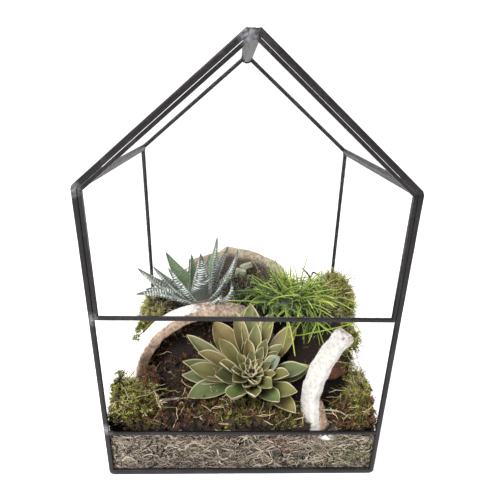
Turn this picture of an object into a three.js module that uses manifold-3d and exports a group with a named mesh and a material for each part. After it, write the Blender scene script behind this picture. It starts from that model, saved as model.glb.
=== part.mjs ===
// A house-shaped glass planter with leaded seams, planted with succulents, moss
// and broken flowerpot pieces. Millimetres, +Z up, the open window faces -Y, and
// the origin is under the middle of the base.
import * as THREE from 'three';
import { mergeVertices } from 'three/addons/utils/BufferGeometryUtils.js';
import loadManifold from 'manifold-3d';

const wasm = await loadManifold();
wasm.setup();

// Case: outer size, heights of the cross bars and width of a seam
const width = 200;
const depth = 178;
const eaveHeight = 219;
const ridgeHeight = 303;
const windowTop = 134.4;
const trayTop = 39.9;
const seam = 3.6;
const windowSeam = 2.2;
const traySeam = 2.6;
const baseSeam = 4.5;
const barDepth = 3;
const foil = 2.1;
const glass = 2;
const gap = 0.3;

// Corner cuts at the base, the eaves and the ridge, where the solder rounds them
const baseCut = 2;
const eaveCut = 1.4;
const ridgeCut = 5;

// How far the long roof seams reach onto the panes
const ridgeReach = 6.5;
const eaveReach = 3.8;

// Planting: floor and top of the tray fill, the room kept between pieces, the
// shortest edge worth keeping, and how far the planted pieces reach outwards
const floorTop = 3.25;
const bedTop = 38;
const room = 0.4;
const shortest = 0.02;
const wallInside = width / 2 - 3.4;
const endInside = depth / 2 - 3.4;

const halfWidth = width / 2;
const halfDepth = depth / 2;
const goldenAngle = Math.PI * (3 - Math.sqrt(5));

// Small helpers

const vector = (x, y, z) => new THREE.Vector3(x, y, z);
const degrees = (angle) => THREE.MathUtils.degToRad(angle);
const mix = (a, b, t) => a + (b - a) * t;
const smooth = (low, high, value) => THREE.MathUtils.smoothstep(value, low, high);

// A repeatable random draw between 0 and 1
function seeded(seed) {
  let state = seed >>> 0;
  return () => {
    state = (state + 0x6d2b79f5) >>> 0;
    let t = Math.imul(state ^ (state >>> 15), state | 1);
    t ^= t + Math.imul(t ^ (t >>> 7), t | 61);
    return ((t ^ (t >>> 14)) >>> 0) / 4294967296;
  };
}

// A smooth uneven field between about -1 and 1, two octaves of crossed sines
function ripple(x, y, z, seed) {
  const coarse = Math.sin(x * 0.17 + seed * 1.7 + z * 0.06) * Math.sin(y * 0.19 + seed * 2.3 + z * 0.09);
  const fine = Math.sin(x * 0.41 + z * 0.33 + seed) * Math.sin(y * 0.38 - z * 0.29 + seed * 0.7);
  return (coarse + 0.6 * fine) / 1.6;
}

// A closed mesh from points and triangles, turned outwards if it came inside out
function closedMesh(points, triangles) {
  let volume = 0;
  for (const [a, b, c] of triangles) {
    volume += points[a].dot(points[b].clone().cross(points[c]));
  }
  const faces = volume < 0 ? triangles.map(([a, b, c]) => [a, c, b]) : triangles;
  const geometry = new THREE.BufferGeometry().setFromPoints(points);
  geometry.setIndex(faces.flat());
  return geometry;
}

// A skin over a row of rings with equal point counts; a ring of one point is a tip
function loft(rings) {
  const points = rings.flat();
  const triangles = [];
  const starts = [];
  let next = 0;
  for (const ring of rings) {
    starts.push(next);
    next += ring.length;
  }
  for (let i = 0; i + 1 < rings.length; i += 1) {
    const here = rings[i];
    const there = rings[i + 1];
    const count = Math.max(here.length, there.length);
    for (let j = 0; j < count; j += 1) {
      const k = (j + 1) % count;
      const a = starts[i] + (here.length > 1 ? j : 0);
      const b = starts[i] + (here.length > 1 ? k : 0);
      const c = starts[i + 1] + (there.length > 1 ? j : 0);
      const d = starts[i + 1] + (there.length > 1 ? k : 0);
      if (here.length > 1) triangles.push([a, b, c]);
      if (there.length > 1) triangles.push([b, d, c]);
    }
  }
  capRing(points, triangles, rings[0], starts[0], false);
  capRing(points, triangles, rings[rings.length - 1], starts[rings.length - 1], true);
  return closedMesh(points, triangles);
}

// A fan over the first or last ring of a loft
function capRing(points, triangles, ring, start, last) {
  if (ring.length < 3) return;
  const middle = ring.reduce((sum, p) => sum.add(p), vector(0, 0, 0)).divideScalar(ring.length);
  const hub = points.length;
  points.push(middle);
  for (let j = 0; j < ring.length; j += 1) {
    const k = (j + 1) % ring.length;
    triangles.push(last ? [start + j, start + k, hub] : [start + k, start + j, hub]);
  }
}

// Between a three.js geometry and a solid that can be joined and cut
function toSolid(geometry) {
  const bare = geometry.clone();
  bare.deleteAttribute('normal');
  bare.deleteAttribute('uv');
  const merged = mergeVertices(bare, 1e-4);
  return new wasm.Manifold(new wasm.Mesh({
    numProp: 3,
    vertProperties: new Float32Array(merged.attributes.position.array),
    triVerts: new Uint32Array(merged.index.array),
  }));
}

function fromSolid(solid) {
  const mesh = solid.getMesh();
  const geometry = new THREE.BufferGeometry();
  geometry.setAttribute('position', new THREE.BufferAttribute(new Float32Array(mesh.vertProperties), 3));
  geometry.setIndex(new THREE.BufferAttribute(new Uint32Array(mesh.triVerts), 1));
  return geometry;
}

const join = (solids) => solids.reduce((sum, solid) => sum.add(solid));
const cut = (solid, tools) => tools.reduce((rest, tool) => rest.subtract(tool), solid);

// The biggest body of a solid; crumbs that a cut left over are dropped
function mainBody(solid) {
  const bodies = solid.decompose();
  return bodies.reduce((best, body) => (body.volume() > best.volume() ? body : best));
}

// The space between the panes and above a floor, which a planted piece stays in
function insideCase(floor) {
  const box = new THREE.BoxGeometry(2 * wallInside, 2 * endInside, 190);
  box.translate(0, 0, floor + 95);
  return toSolid(box);
}

// Case outline: a five-sided house front, and its edges moved inwards

function houseOutline(bottom) {
  return [
    [-halfWidth, bottom], [halfWidth, bottom],
    [halfWidth, eaveHeight], [0, ridgeHeight], [-halfWidth, eaveHeight],
  ];
}

function direction(from, to) {
  const length = Math.hypot(to[0] - from[0], to[1] - from[1]);
  return [(to[0] - from[0]) / length, (to[1] - from[1]) / length];
}

function inset(outline, distances) {
  const count = outline.length;
  const lines = outline.map((point, i) => {
    const along = direction(point, outline[(i + 1) % count]);
    const inward = [-along[1], along[0]];
    return { at: [point[0] + inward[0] * distances[i], point[1] + inward[1] * distances[i]], along };
  });
  return outline.map((_, i) => {
    const before = lines[(i + count - 1) % count];
    const after = lines[i];
    const cross = before.along[0] * after.along[1] - before.along[1] * after.along[0];
    const dx = after.at[0] - before.at[0];
    const dz = after.at[1] - before.at[1];
    const t = (dx * after.along[1] - dz * after.along[0]) / cross;
    return [before.at[0] + before.along[0] * t, before.at[1] + before.along[1] * t];
  });
}

const insetBy = (bottom, side) => [bottom, side, side, side, side];

// A flat shape in the X-Z plane, as thick as from yFront to yBack
function slab(points, yFront, yBack) {
  const shape = new THREE.Shape(points.map(([x, z]) => new THREE.Vector2(x, z)));
  const geometry = new THREE.ExtrudeGeometry(shape, { depth: yBack - yFront, bevelEnabled: false });
  geometry.rotateX(Math.PI / 2);
  geometry.translate(0, yBack, 0);
  return geometry;
}

// One edge of the house as a mitred bar, with its corner rounding cut off
function mitredBar(outer, inner, edge, cuts) {
  const count = outer.length;
  const next = (edge + 1) % count;
  const along = direction(outer[edge], outer[next]);
  const back = direction(outer[edge], outer[(edge + count - 1) % count]);
  const onward = direction(outer[next], outer[(next + 1) % count]);
  const shift = 0.22;
  const move = (point, ...steps) => steps.reduce(
    (at, [way, length]) => [at[0] + way[0] * length, at[1] + way[1] * length], point);
  return [
    move(outer[edge], [along, cuts[edge] + shift]),
    move(outer[next], [along, -cuts[next] - shift]),
    move(outer[next], [along, -cuts[next] / 2 - shift], [onward, cuts[next] / 2]),
    move(inner[next], [along, -shift]),
    move(inner[edge], [along, shift]),
    move(outer[edge], [along, cuts[edge] / 2 + shift], [back, cuts[edge] / 2]),
  ];
}

// The section of a seam that runs front to back along a corner of the house
function cornerSeam(corner, reach, thickness, cutOff) {
  const outline = houseOutline(0);
  const count = outline.length;
  const at = outline[corner];
  const ways = [
    direction(at, outline[(corner + count - 1) % count]),
    direction(at, outline[(corner + 1) % count]),
  ];
  const inwards = [[ways[0][1], -ways[0][0]], [-ways[1][1], ways[1][0]]];
  const step = (way, length) => [at[0] + way[0] * length, at[1] + way[1] * length];
  const [before, after] = ways.map((way) => step(way, reach));
  const innerBefore = [before[0] + inwards[0][0] * thickness, before[1] + inwards[0][1] * thickness];
  const innerAfter = [after[0] + inwards[1][0] * thickness, after[1] + inwards[1][1] * thickness];
  return [step(ways[0], cutOff), before, innerBefore, innerAfter, after, step(ways[1], cutOff)];
}

function caseBars() {
  const cuts = [baseCut, baseCut, eaveCut, ridgeCut, eaveCut];
  const outer = houseOutline(0);
  const inner = inset(outer, insetBy(baseSeam, seam));
  const names = ['bottom', 'right_post', 'right_rafter', 'left_rafter', 'left_post'];
  const bars = {};
  names.forEach((name, edge) => {
    const shape = mitredBar(outer, inner, edge, cuts);
    bars[`front_${name}`] = slab(shape, -halfDepth, -halfDepth + barDepth);
    bars[`back_${name}`] = slab(shape, halfDepth - barDepth, halfDepth);
  });
  return bars;
}

// The foil border of the fixed upper pane, one strip along each of its edges
function frontFoils() {
  const pane = houseOutline(windowTop + windowSeam / 2);
  const outer = inset(pane, insetBy(gap, seam + gap));
  const inner = inset(pane, insetBy(gap, seam + gap + foil));
  const names = { 1: 'right_foil', 2: 'right_roof_foil', 3: 'left_roof_foil', 4: 'left_foil' };
  const foils = {};
  for (const [edge, name] of Object.entries(names)) {
    const shape = mitredBar(outer, inner, Number(edge), [0.1, 0.1, 0.1, 0.1, 0.1]);
    foils[name] = slab(shape, -halfDepth + 0.2, -halfDepth + barDepth - 0.2);
  }
  return foils;
}

function crossBars() {
  const reach = halfWidth - seam - gap;
  const bar = (middle, size) => slab([
    [-reach, middle - size / 2], [reach, middle - size / 2],
    [reach, middle + size / 2], [-reach, middle + size / 2],
  ], -halfDepth, -halfDepth + size);
  return { window_top_bar: bar(windowTop, windowSeam), tray_top_bar: bar(trayTop, traySeam) };
}

function lengthwiseSeams() {
  const from = -halfDepth + barDepth + gap;
  const to = halfDepth - barDepth - gap;
  const side = (sign) => [
    [sign * (halfWidth - baseCut), 0], [sign * halfWidth, baseCut], [sign * halfWidth, baseSeam],
    [sign * (halfWidth - seam), baseSeam], [sign * (halfWidth - seam), 0],
  ];
  return {
    left_bottom_seam: slab(side(-1), from, to),
    right_bottom_seam: slab(side(1), from, to),
    right_eave_seam: slab(cornerSeam(2, eaveReach, 2.6, eaveCut), from, to),
    ridge_seam: slab(cornerSeam(3, ridgeReach, 2.6, ridgeCut), from, to),
    left_eave_seam: slab(cornerSeam(4, eaveReach, 2.6, eaveCut), from, to),
  };
}

function panes() {
  const inFront = -halfDepth + 0.5;
  const atBack = halfDepth - 0.5;
  const from = -halfDepth + barDepth + gap;
  const to = halfDepth - barDepth - gap;
  const wall = (sign) => {
    const outside = sign * (halfWidth - 0.5);
    const inside = sign * (halfWidth - 0.5 - glass);
    const low = baseSeam + gap;
    const high = eaveHeight - eaveReach - gap;
    return slab([[outside, low], [outside, high], [inside, high], [inside, low]], from, to);
  };
  const roof = (sign) => {
    const slope = direction([0, ridgeHeight], [sign * halfWidth, eaveHeight]);
    const inward = [sign * slope[1], -Math.abs(slope[0])];
    const length = Math.hypot(halfWidth, ridgeHeight - eaveHeight);
    const at = (along, deep) => [
      slope[0] * along + inward[0] * deep,
      ridgeHeight + slope[1] * along + inward[1] * deep,
    ];
    const high = ridgeReach + gap;
    const low = length - eaveReach - gap;
    return slab([at(high, 0.5), at(low, 0.5), at(low, 0.5 + glass), at(high, 0.5 + glass)], from, to);
  };
  const upper = inset(houseOutline(windowTop + windowSeam / 2), insetBy(gap, seam + gap + foil + gap));
  const back = inset(houseOutline(0), insetBy(baseSeam + gap, seam + gap));
  const strip = halfWidth - seam - gap;
  const stripTop = trayTop - traySeam / 2 - gap;
  const floor = new THREE.BoxGeometry(2 * strip, to - from, glass);
  floor.translate(0, 0, floorTop - glass / 2);
  return {
    floor_pane: floor,
    tray_pane: slab([
      [-strip, baseSeam + gap], [strip, baseSeam + gap], [strip, stripTop], [-strip, stripTop],
    ], inFront, inFront + glass),
    upper_front_pane: slab(upper, inFront, inFront + glass),
    back_pane: slab(back, atBack - glass, atBack),
    left_pane: wall(-1),
    right_pane: wall(1),
    left_roof_pane: roof(-1),
    right_roof_pane: roof(1),
  };
}

// Broken flowerpot pieces. Two are curved strips of pot wall that follow a
// circle standing on edge: angle 0 is the left foot, 90 the top, and deep runs
// backwards from the near rim.

const caveArch = {
  centre: vector(-28, -32, 48), radius: 60, turn: 13, lean: 0,
  thickness: 8, length: 17, flare: 5, from: 0, to: 180, steps: 16, feet: true, seed: 3,
};
const sideArch = {
  centre: vector(93.9, -47.4, 60.5), radius: 54.6, turn: 36.3, lean: 6.2,
  thickness: 8, length: 13, flare: 0, from: -42, to: 63, steps: 13, feet: false, seed: 8,
};

function archFrame(arch) {
  const turn = degrees(arch.turn);
  const lean = degrees(arch.lean);
  const deep = vector(-Math.sin(turn) * Math.cos(lean), Math.cos(turn) * Math.cos(lean), Math.sin(lean));
  const across = vector(Math.cos(turn), Math.sin(turn), 0);
  const up = across.clone().cross(deep);
  return { deep, across, up };
}

function archShell(arch, grow) {
  const { deep, across, up } = archFrame(arch);
  const ringAt = (angle, drop) => {
    const wear = ripple(angle * 52, arch.seed * 9, 0, arch.seed) * 0.8;
    const flare = arch.flare * (1 - Math.abs(Math.sin(angle)) ** 3);
    const section = [
      [-arch.thickness - grow, wear - grow], [-1.2 - grow, wear - grow], [grow, 1.2 + wear - grow],
      [flare + grow, arch.length - wear + grow], [flare - arch.thickness - grow, arch.length - wear + grow],
    ];
    const radial = across.clone().multiplyScalar(-Math.cos(angle)).addScaledVector(up, Math.sin(angle));
    return section.map(([outward, back]) => arch.centre.clone()
      .addScaledVector(radial, arch.radius + outward)
      .addScaledVector(deep, back)
      .add(vector(0, 0, -drop)));
  };
  const end = grow > 0 ? 0.6 : 0;
  const rings = [];
  for (let i = 0; i <= arch.steps; i += 1) {
    rings.push(ringAt(degrees(mix(arch.from - end, arch.to + end, i / arch.steps)), 0));
  }
  if (arch.feet) {
    const drop = arch.centre.z - bedTop - gap + grow;
    rings.unshift(ringAt(degrees(arch.from), drop));
    rings.push(ringAt(degrees(arch.to), drop));
  }
  return toSolid(loft(rings));
}

// The back wall of the upright pot under its rim collar: highest behind the
// zebra plant, chipped to the left of it and broken off at both ends
const pot = { x: 0, y: 20, radius: 54, wall: 5.5, collar: 13, taper: 0.2 };

function potRim(bearing) {
  const slope = bearing < 108 ? 125.5 - 0.22 * (108 - bearing) : 125.5 - 0.5 * (bearing - 108);
  return bearing > 118 ? 120.3 + 0.05 * (bearing - 118) : slope;
}

function potWall(grow) {
  const bearings = [30, 34, 40, 52, 64, 76, 88, 100, 108, 117, 121, 134, 146, 158, 166, 171];
  const rings = bearings.map((bearing, i) => {
    const way = vector(Math.cos(degrees(bearing)), Math.sin(degrees(bearing)), 0);
    const broken = [34, 12, 2][i] ?? ([30, 9][bearings.length - 1 - i] ?? 0);
    const rim = potRim(bearing) + ripple(bearing, 4, 0, 2) * 0.9 - broken;
    const base = bedTop + gap - grow;
    const at = (outward, z) => vector(pot.x, pot.y, z)
      .addScaledVector(way, pot.radius + outward - (rim - z) * pot.taper);
    const shoulder = rim - pot.collar;
    return [
      at(-pot.wall - grow, rim + grow), at(grow, rim + grow), at(grow, shoulder - grow),
      at(-2.6 + grow, shoulder - 1.5 - grow), at(-2.6 + grow, base), at(-pot.wall - grow, base),
    ];
  });
  return toSolid(loft(rings));
}

// A red clay sherd that leans in the soil behind the side piece
function claySherd(grow) {
  const outline = [[-12, -8], [-3, -11], [8, -9], [12, -2], [10, 5], [2, 9], [-5, 7], [-11, 3]];
  const across = vector(0.85, 0.53, 0).normalize();
  const facing = vector(0.32, -0.52, 0.79).normalize();
  const up = facing.clone().cross(across).normalize();
  const ringAt = (depthAt) => outline.map(([x, z]) => vector(72, -44, 67)
    .addScaledVector(across, x * (1 + grow / 11))
    .addScaledVector(up, z * (1 + grow / 9))
    .addScaledVector(facing, depthAt - 0.012 * x * x));
  return toSolid(loft([ringAt(-2.6 - grow), ringAt(2.6 + grow)]));
}

// Ground: the tray fill of dry moss behind the low front pane, the upper soil
// as a mound behind the cave piece, its slope on the right, and the soil that
// slopes out of the cave's mouth

// The hollow in the tray fill in front of the side piece's foot
const footHollow = {
  at: [60, -86, bedTop], size: [12, 23, 5.6], seed: 5, rough: 0.06, floor: 20, detail: [14, 8],
};

// A block with a level underside and an uneven top over a grid of columns. Its
// grown copy has the same top raised by grow and its four sides pushed out
function heightBlock(columns, rows, placeAt, topAt, bottom, grow = 0) {
  const points = [];
  const triangles = [];
  const border = (i, last) => Number(i === last) - Number(i === 0);
  for (let i = 0; i <= columns; i += 1) {
    for (let j = 0; j <= rows; j += 1) {
      const [x, y] = placeAt(i / columns, j / rows);
      const aside = vector(border(i, columns), border(j, rows), 1).multiplyScalar(grow);
      points.push(vector(x, y, topAt(x, y)).add(aside));
    }
  }
  const row = rows + 1;
  for (let i = 0; i < columns; i += 1) {
    for (let j = 0; j < rows; j += 1) {
      const a = i * row + j;
      triangles.push([a, a + row, a + row + 1], [a, a + row + 1, a + 1]);
    }
  }
  const rim = [];
  for (let i = 0; i < columns; i += 1) rim.push(i * row);
  for (let j = 0; j < rows; j += 1) rim.push(columns * row + j);
  for (let i = columns; i > 0; i -= 1) rim.push(i * row + rows);
  for (let j = rows; j > 0; j -= 1) rim.push(j);
  const foot = points.length;
  rim.forEach((index) => points.push(vector(points[index].x, points[index].y, bottom)));
  const hub = points.length;
  const [middleX, middleY] = placeAt(0.5, 0.5);
  points.push(vector(middleX, middleY, bottom));
  rim.forEach((index, i) => {
    const k = (i + 1) % rim.length;
    triangles.push([index, foot + i, foot + k], [index, foot + k, rim[k]]);
    triangles.push([foot + k, foot + i, hub]);
  });
  return toSolid(closedMesh(points, triangles));
}

// A rectangle of ground between two corners
const patch = (x0, x1, y0, y1) => (u, v) => [mix(x0, x1, u), mix(y0, y1, v)];

function trayFill() {
  const side = halfWidth - seam - gap;
  const place = patch(-side, side, -endInside, endInside);
  const top = (x, y) => {
    const nearPane = 1 - smooth(-70, -58, y);
    return bedTop - 1.6 * nearPane * (0.5 + 0.5 * ripple(x * 2.2, y * 2.2, 0, 4));
  };
  const block = heightBlock(12, 8, place, top, floorTop + 0.35);
  return block.subtract(lump(footHollow));
}

// Where the mound begins behind the cave piece
function moundEdge(x) {
  const { deep } = archFrame(caveArch);
  const back = caveArch.centre.clone().addScaledVector(deep, caveArch.length + 1.6);
  return back.y + (x - back.x) * Math.tan(degrees(caveArch.turn));
}

function moundTop(x, y) {
  const outsidePot = smooth(16, 44, x) * smooth(2, 46, y);
  const rise = 4 * smooth(10, 40, x) + 5 * smooth(20, 45, y);
  const crown = 97 + rise - 24 * smooth(56, 86, y) - 30 * outsidePot;
  const flank = smooth(-85, -66, x - 0.08 * y) * (1 - 0.7 * smooth(80, 92, x));
  const lip = smooth(-1, 13, y - moundEdge(Math.min(x, 40)));
  return mix(41, mix(84, crown, lip) + 1.5 * ripple(x, y, 0, 6), flank);
}

function mound(grow) {
  const left = -87;
  const right = 93;
  const place = (u, v) => {
    const x = mix(left, right, u);
    return [x, mix(moundEdge(Math.min(x, 40)), endInside, v)];
  };
  return heightBlock(14, 8, place, moundTop, bedTop + gap, grow);
}

function rightSlope(grow) {
  const top = (x, y) => {
    const rise = smooth(-60, -14, y - 0.2 * (70 - x));
    const fall = 8 * smooth(-2, 12, y);
    return mix(44, 99, rise) - fall + 2.6 * ripple(x * 1.6, y * 1.6, 0, 7);
  };
  return heightBlock(7, 8, patch(36, 87, -60, 12), top, bedTop + gap, grow);
}

function caveSlope(grow) {
  const { deep, across, up } = archFrame(caveArch);
  const sections = [
    [-27, 24, 4], [-19, 36, 13], [-10, 42, 22], [-1, 44, 33], [8, 46, 42], [19, 48, 50],
  ];
  const rings = sections.map(([back, half, height]) => {
    const ring = [];
    for (let i = 0; i <= 11; i += 1) {
      const angle = Math.PI * (i / 11);
      const swell = 1 + 0.13 * ripple(i * 8, back * 3, 0, 2) * Math.sin(angle);
      ring.push(caveArch.centre.clone().setZ(bedTop + gap)
        .addScaledVector(deep, back)
        .addScaledVector(across, -Math.cos(angle) * (half * swell + grow))
        .addScaledVector(up, Math.sin(angle) * (height * swell + grow)));
    }
    return ring;
  });
  return toSolid(loft(rings));
}

// Root ends that stick out of the soil in the cave
function caveRoots() {
  const random = seeded(41);
  const { deep, across, up } = archFrame(caveArch);
  return Array.from({ length: 16 }, () => {
    const angle = mix(0.35, 2.6, random());
    const back = mix(-20, 4, random());
    const share = (back + 27) / 46;
    const half = mix(32, 47, share);
    const height = mix(10, 46, share);
    const root = caveArch.centre.clone().setZ(bedTop + gap)
      .addScaledVector(deep, back)
      .addScaledVector(across, -Math.cos(angle) * half * 0.9)
      .addScaledVector(up, Math.sin(angle) * height * 0.9);
    const out = vector(mix(-0.6, 0.6, random()), -1, mix(-0.1, 0.8, random())).normalize();
    const length = mix(8, 15, random());
    const bend = root.clone().addScaledVector(out, length * 0.6);
    const tip = root.clone().addScaledVector(out, length).add(vector(0, 0, -2));
    return taperedRod([root, bend, tip], [1.4, 1.1, 0.5], 3);
  });
}

// A rough lump: a sphere pushed in and out, kept above the floor it rests on
function lump({
  at, size, seed, rough = 0.2, floor = bedTop + gap, detail = [14, 9],
}, grow = 0) {
  const sphere = new THREE.SphereGeometry(1, ...detail);
  sphere.rotateX(Math.PI / 2);
  sphere.deleteAttribute('normal');
  sphere.deleteAttribute('uv');
  const geometry = mergeVertices(sphere, 1e-4);
  const position = geometry.attributes.position;
  for (let i = 0; i < position.count; i += 1) {
    const p = vector().fromBufferAttribute(position, i);
    const push = 1 + rough * ripple(p.x * 14 + seed * 5, p.y * 14, p.z * 14, seed);
    const x = at[0] + p.x * (size[0] * push + grow);
    const y = at[1] + p.y * (size[1] * push + grow);
    const z = at[2] + p.z * (size[2] * push + grow);
    position.setXYZ(i, x, y, Math.max(z, floor - grow));
  }
  return toSolid(geometry);
}

// Two pale stones on the soil against the back wall of the pot, and a white
// chip of pot in the hollow behind the tray pane
const pebble = { rough: 0.14, detail: [7, 5] };
const stones = {
  pot_chip: { ...pebble, at: [62, -82.6, 35.6], size: [6.5, 2.4, 2], seed: 23, floor: 33.3 },
  stone_upper: { ...pebble, at: [2, 58, 107.6], size: [7, 4, 6.6], seed: 21, floor: 90 },
  stone_lower: { ...pebble, at: [-7, 50, 106], size: [6, 4.5, 4], seed: 22, floor: 90 },
};

// A thin bent spike or stem with three or more sides, along a smooth route;
// the radii follow it from root to tip and a last radius of zero makes a point
function taperedRod(route, radii, sides) {
  const curve = new THREE.CatmullRomCurve3(route);
  const steps = radii.length - 1;
  const rings = radii.map((radius, i) => {
    const at = curve.getPoint(i / steps);
    if (radius === 0) return [at];
    const along = curve.getTangent(i / steps);
    const aside = Math.abs(along.z) > 0.9 ? vector(1, 0, 0) : vector(0, 0, 1);
    const side = along.clone().cross(aside).normalize();
    const over = side.clone().cross(along);
    return Array.from({ length: sides }, (_, j) => {
      const angle = (2 * Math.PI * j) / sides;
      return at.clone()
        .addScaledVector(side, radius * Math.cos(angle))
        .addScaledVector(over, radius * Math.sin(angle));
    });
  });
  return toSolid(loft(rings));
}

// Moss: an uneven cushion, and short leafy spikes that stand out of it

// A hump of ground, highest in the middle and spreading this far each way
const hump = (x, y, middle, spread) => Math.exp(
  -(((x - middle[0]) / spread[0]) ** 2) - (((y - middle[1]) / spread[1]) ** 2));

const moss = {
  moss_front: {
    corners: [-70, 48, -85.4, -61], cells: [16, 4], spikes: 32, reach: 8, seed: 17,
    top: (x, y) => {
      const swell = 4.5 * smooth(-45, -25, x) * (1 - smooth(15, 30, x));
      return 43 + swell + 3.2 * ripple(x * 2, y * 2.4, 0, 5);
    },
  },
  moss_left: {
    corners: [-96.6, -70.5, -85.4, -48], cells: [5, 6], spikes: 18, reach: 9, seed: 11,
    top: (x, y) => 44 + 25 * hump(x, y, [-91, -69], [11, 13]) + 3 * ripple(x * 2, y * 2, 0, 3),
  },
  moss_right: {
    corners: [70, 96.6, -85.4, -46], cells: [5, 7], spikes: 20, reach: 7, seed: 13,
    top: (x, y) => {
      const bank = 17 * smooth(76, 93, x) * smooth(-90, -66, y);
      return 42 + bank + 2.6 * ripple(x * 2, y * 2, 0, 9);
    },
  },
};

function mossCushion({ corners, cells, top }, grow = 0) {
  return heightBlock(...cells, patch(...corners), top, bedTop + gap, grow);
}

function mossSpikes({ corners: [x0, x1, y0, y1], top, spikes, reach, seed }) {
  const random = seeded(seed);
  return Array.from({ length: spikes }, () => {
    const x = mix(x0 + 2, x1 - 2, random());
    const y = mix(y0 + 2, y1 - 2, random());
    const length = reach * mix(0.6, 1.15, random());
    const lean = mix(-0.7, 0.7, random());
    const sway = mix(-0.7, 0.7, random());
    const root = vector(x, y, top(x, y) - 2.5);
    const tip = root.clone().add(vector(lean * length, sway * length, length + 2));
    const middle = root.clone().lerp(tip, 0.5).add(vector(-lean * 1.5, -sway * 1.5, 0.5));
    return taperedRod([root, middle, tip], [1.3, 1.15, 0.35], 3);
  });
}

// Moss that hangs on the back of the mound, as lumps with spikes around them
const hangingMoss = {
  moss_back_right: {
    spikes: 20, reach: 8, seed: 14,
    lumps: [{ at: [82, 8, 92], size: [14, 28, 23], seed: 9 }],
  },
  moss_back_left: {
    spikes: 18, reach: 9, seed: 15,
    lumps: [
      { at: [-74, -3, 92], size: [11, 15, 9], seed: 10, floor: 70, detail: [11, 7] },
      { at: [-81, -8, 80], size: [6, 9, 12], seed: 16, floor: 62, detail: [9, 6] },
    ],
  },
};

function lumpSpikes({ lumps, spikes, reach, seed }) {
  const random = seeded(seed);
  return Array.from({ length: spikes }, () => {
    const home = lumps[Math.floor(random() * lumps.length)];
    const bearing = random() * 2 * Math.PI;
    const rise = mix(-0.2, 1.4, random());
    const level = Math.cos(rise);
    const out = vector(Math.cos(bearing) * level, Math.sin(bearing) * level, Math.sin(rise));
    const root = vector(...home.at).add(out.clone().multiply(vector(...home.size)).multiplyScalar(0.84));
    const length = reach * mix(0.6, 1.1, random());
    const tip = root.clone().addScaledVector(out, length).add(vector(0, 0, length * 0.25));
    const middle = root.clone().lerp(tip, 0.5).add(vector(0, 0, length * 0.08));
    return taperedRod([root, middle, tip], [1.4, 1.2, 0.35], 3);
  });
}

// Leaves: a thin closed blade from its base to its tip. It sags by a share of
// its length away from face, the direction its upper side looks; stations give
// place, width and thickness along it as shares of the whole. The first three
// points of its section are its upper side; a grown copy is thicker at its edges
function leaf({ base, tip, face, sag, half, thickness, section, stations }, grow) {
  const chord = tip.clone().sub(base);
  const length = chord.length();
  const up = face.clone().addScaledVector(chord, -face.dot(chord) / (length * length)).normalize();
  const middle = base.clone().lerp(tip, 0.55).addScaledVector(up, -2 * sag * length);
  const end = tip.clone().addScaledVector(chord, grow / length);
  const curve = new THREE.QuadraticBezierCurve3(base, middle, end);
  const upper = section.slice(0, 3).map(([y, z]) => [y, z, grow]);
  const lower = [section[2], ...section.slice(3), section[0]].map(([y, z]) => [y, z, -grow]);
  const outline = [...upper, ...(grow > 0 ? lower : lower.slice(1, -1))];
  const rings = stations.map(([t, wide, thick]) => {
    const at = curve.getPoint(t);
    if (wide === 0) return [at];
    const along = curve.getTangent(t);
    const side = up.clone().cross(along).normalize();
    const over = along.clone().cross(side);
    return outline.map(([y, z, raised]) => at.clone()
      .addScaledVector(side, y * (wide * half + grow))
      .addScaledVector(over, z * thick * thickness + raised));
  });
  return toSolid(loft(rings));
}

// Rosette of broad pointed leaves round a tilted axis. Each outer leaf is its
// turn about the axis, how far it opens from it, and its length; the inner
// leaves follow the golden angle
const rosette = {
  foot: vector(6, -48, 56), rise: 66, inner: 10, half: 9.6, seed: 21,
  outer: [
    [158, 61, 60], [173, 52, 49], [177, 68, 54], [183, 63, 50], [185, 76, 52], [204, 77, 50],
    [244, 46, 44], [271, 40, 42], [298, 50, 44], [310, 66, 47], [322, 50, 46], [353, 52, 47],
    [2, 66, 46], [41, 56, 51], [68, 46, 54], [93, 48, 57], [112, 44, 53], [134, 54, 51],
    [200, 46, 37], [182, 38, 35], [85, 37, 43], [30, 36, 38], [300, 35, 37], [335, 38, 40],
    [60, 30, 34], [105, 27, 33], [146, 44, 41], [12, 32, 32], [226, 34, 32], [270, 27, 30],
  ],
};

function rosetteFrame() {
  const rise = degrees(rosette.rise);
  const axis = vector(0.03, -Math.cos(rise), Math.sin(rise)).normalize();
  const right = vector(1, 0, 0).addScaledVector(axis, -axis.x).normalize();
  return { axis, right, over: axis.clone().cross(right) };
}

function rosetteLeaves(grow) {
  const { axis, right, over } = rosetteFrame();
  const section = [[-1, 0.4], [0, -0.05], [1, 0.4], [0, -0.75]];
  const stations = [[0, 0.2, 0.8], [0.28, 0.6, 1.1], [0.56, 1, 0.95], [0.82, 0.62, 0.7], [1, 0, 0]];
  const inner = Array.from({ length: rosette.inner }, (_, i) => [
    20 + THREE.MathUtils.radToDeg(i * goldenAngle), 4 + 2.2 * i, 20 + 1.1 * i]);
  return [...rosette.outer, ...inner].map(([turn, open, length]) => {
    const out = right.clone().multiplyScalar(Math.cos(degrees(turn)))
      .addScaledVector(over, Math.sin(degrees(turn)));
    const tilt = degrees(open);
    const along = axis.clone().multiplyScalar(Math.cos(tilt)).addScaledVector(out, Math.sin(tilt));
    const face = axis.clone().multiplyScalar(Math.sin(tilt)).addScaledVector(out, -Math.cos(tilt));
    const tip = rosette.foot.clone().addScaledVector(out, 4).addScaledVector(along, length);
    const lift = mix(12, -2, smooth(4, 66, open));
    const base = rosette.foot.clone().addScaledVector(out, 3).addScaledVector(axis, lift);
    const half = rosette.half * smooth(0, 56, length) ** 0.7;
    const thickness = mix(2.2, 3.4, smooth(20, 45, length));
    return leaf({ base, tip, face, sag: 0.05, half, thickness, section, stations }, grow);
  });
}

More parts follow.
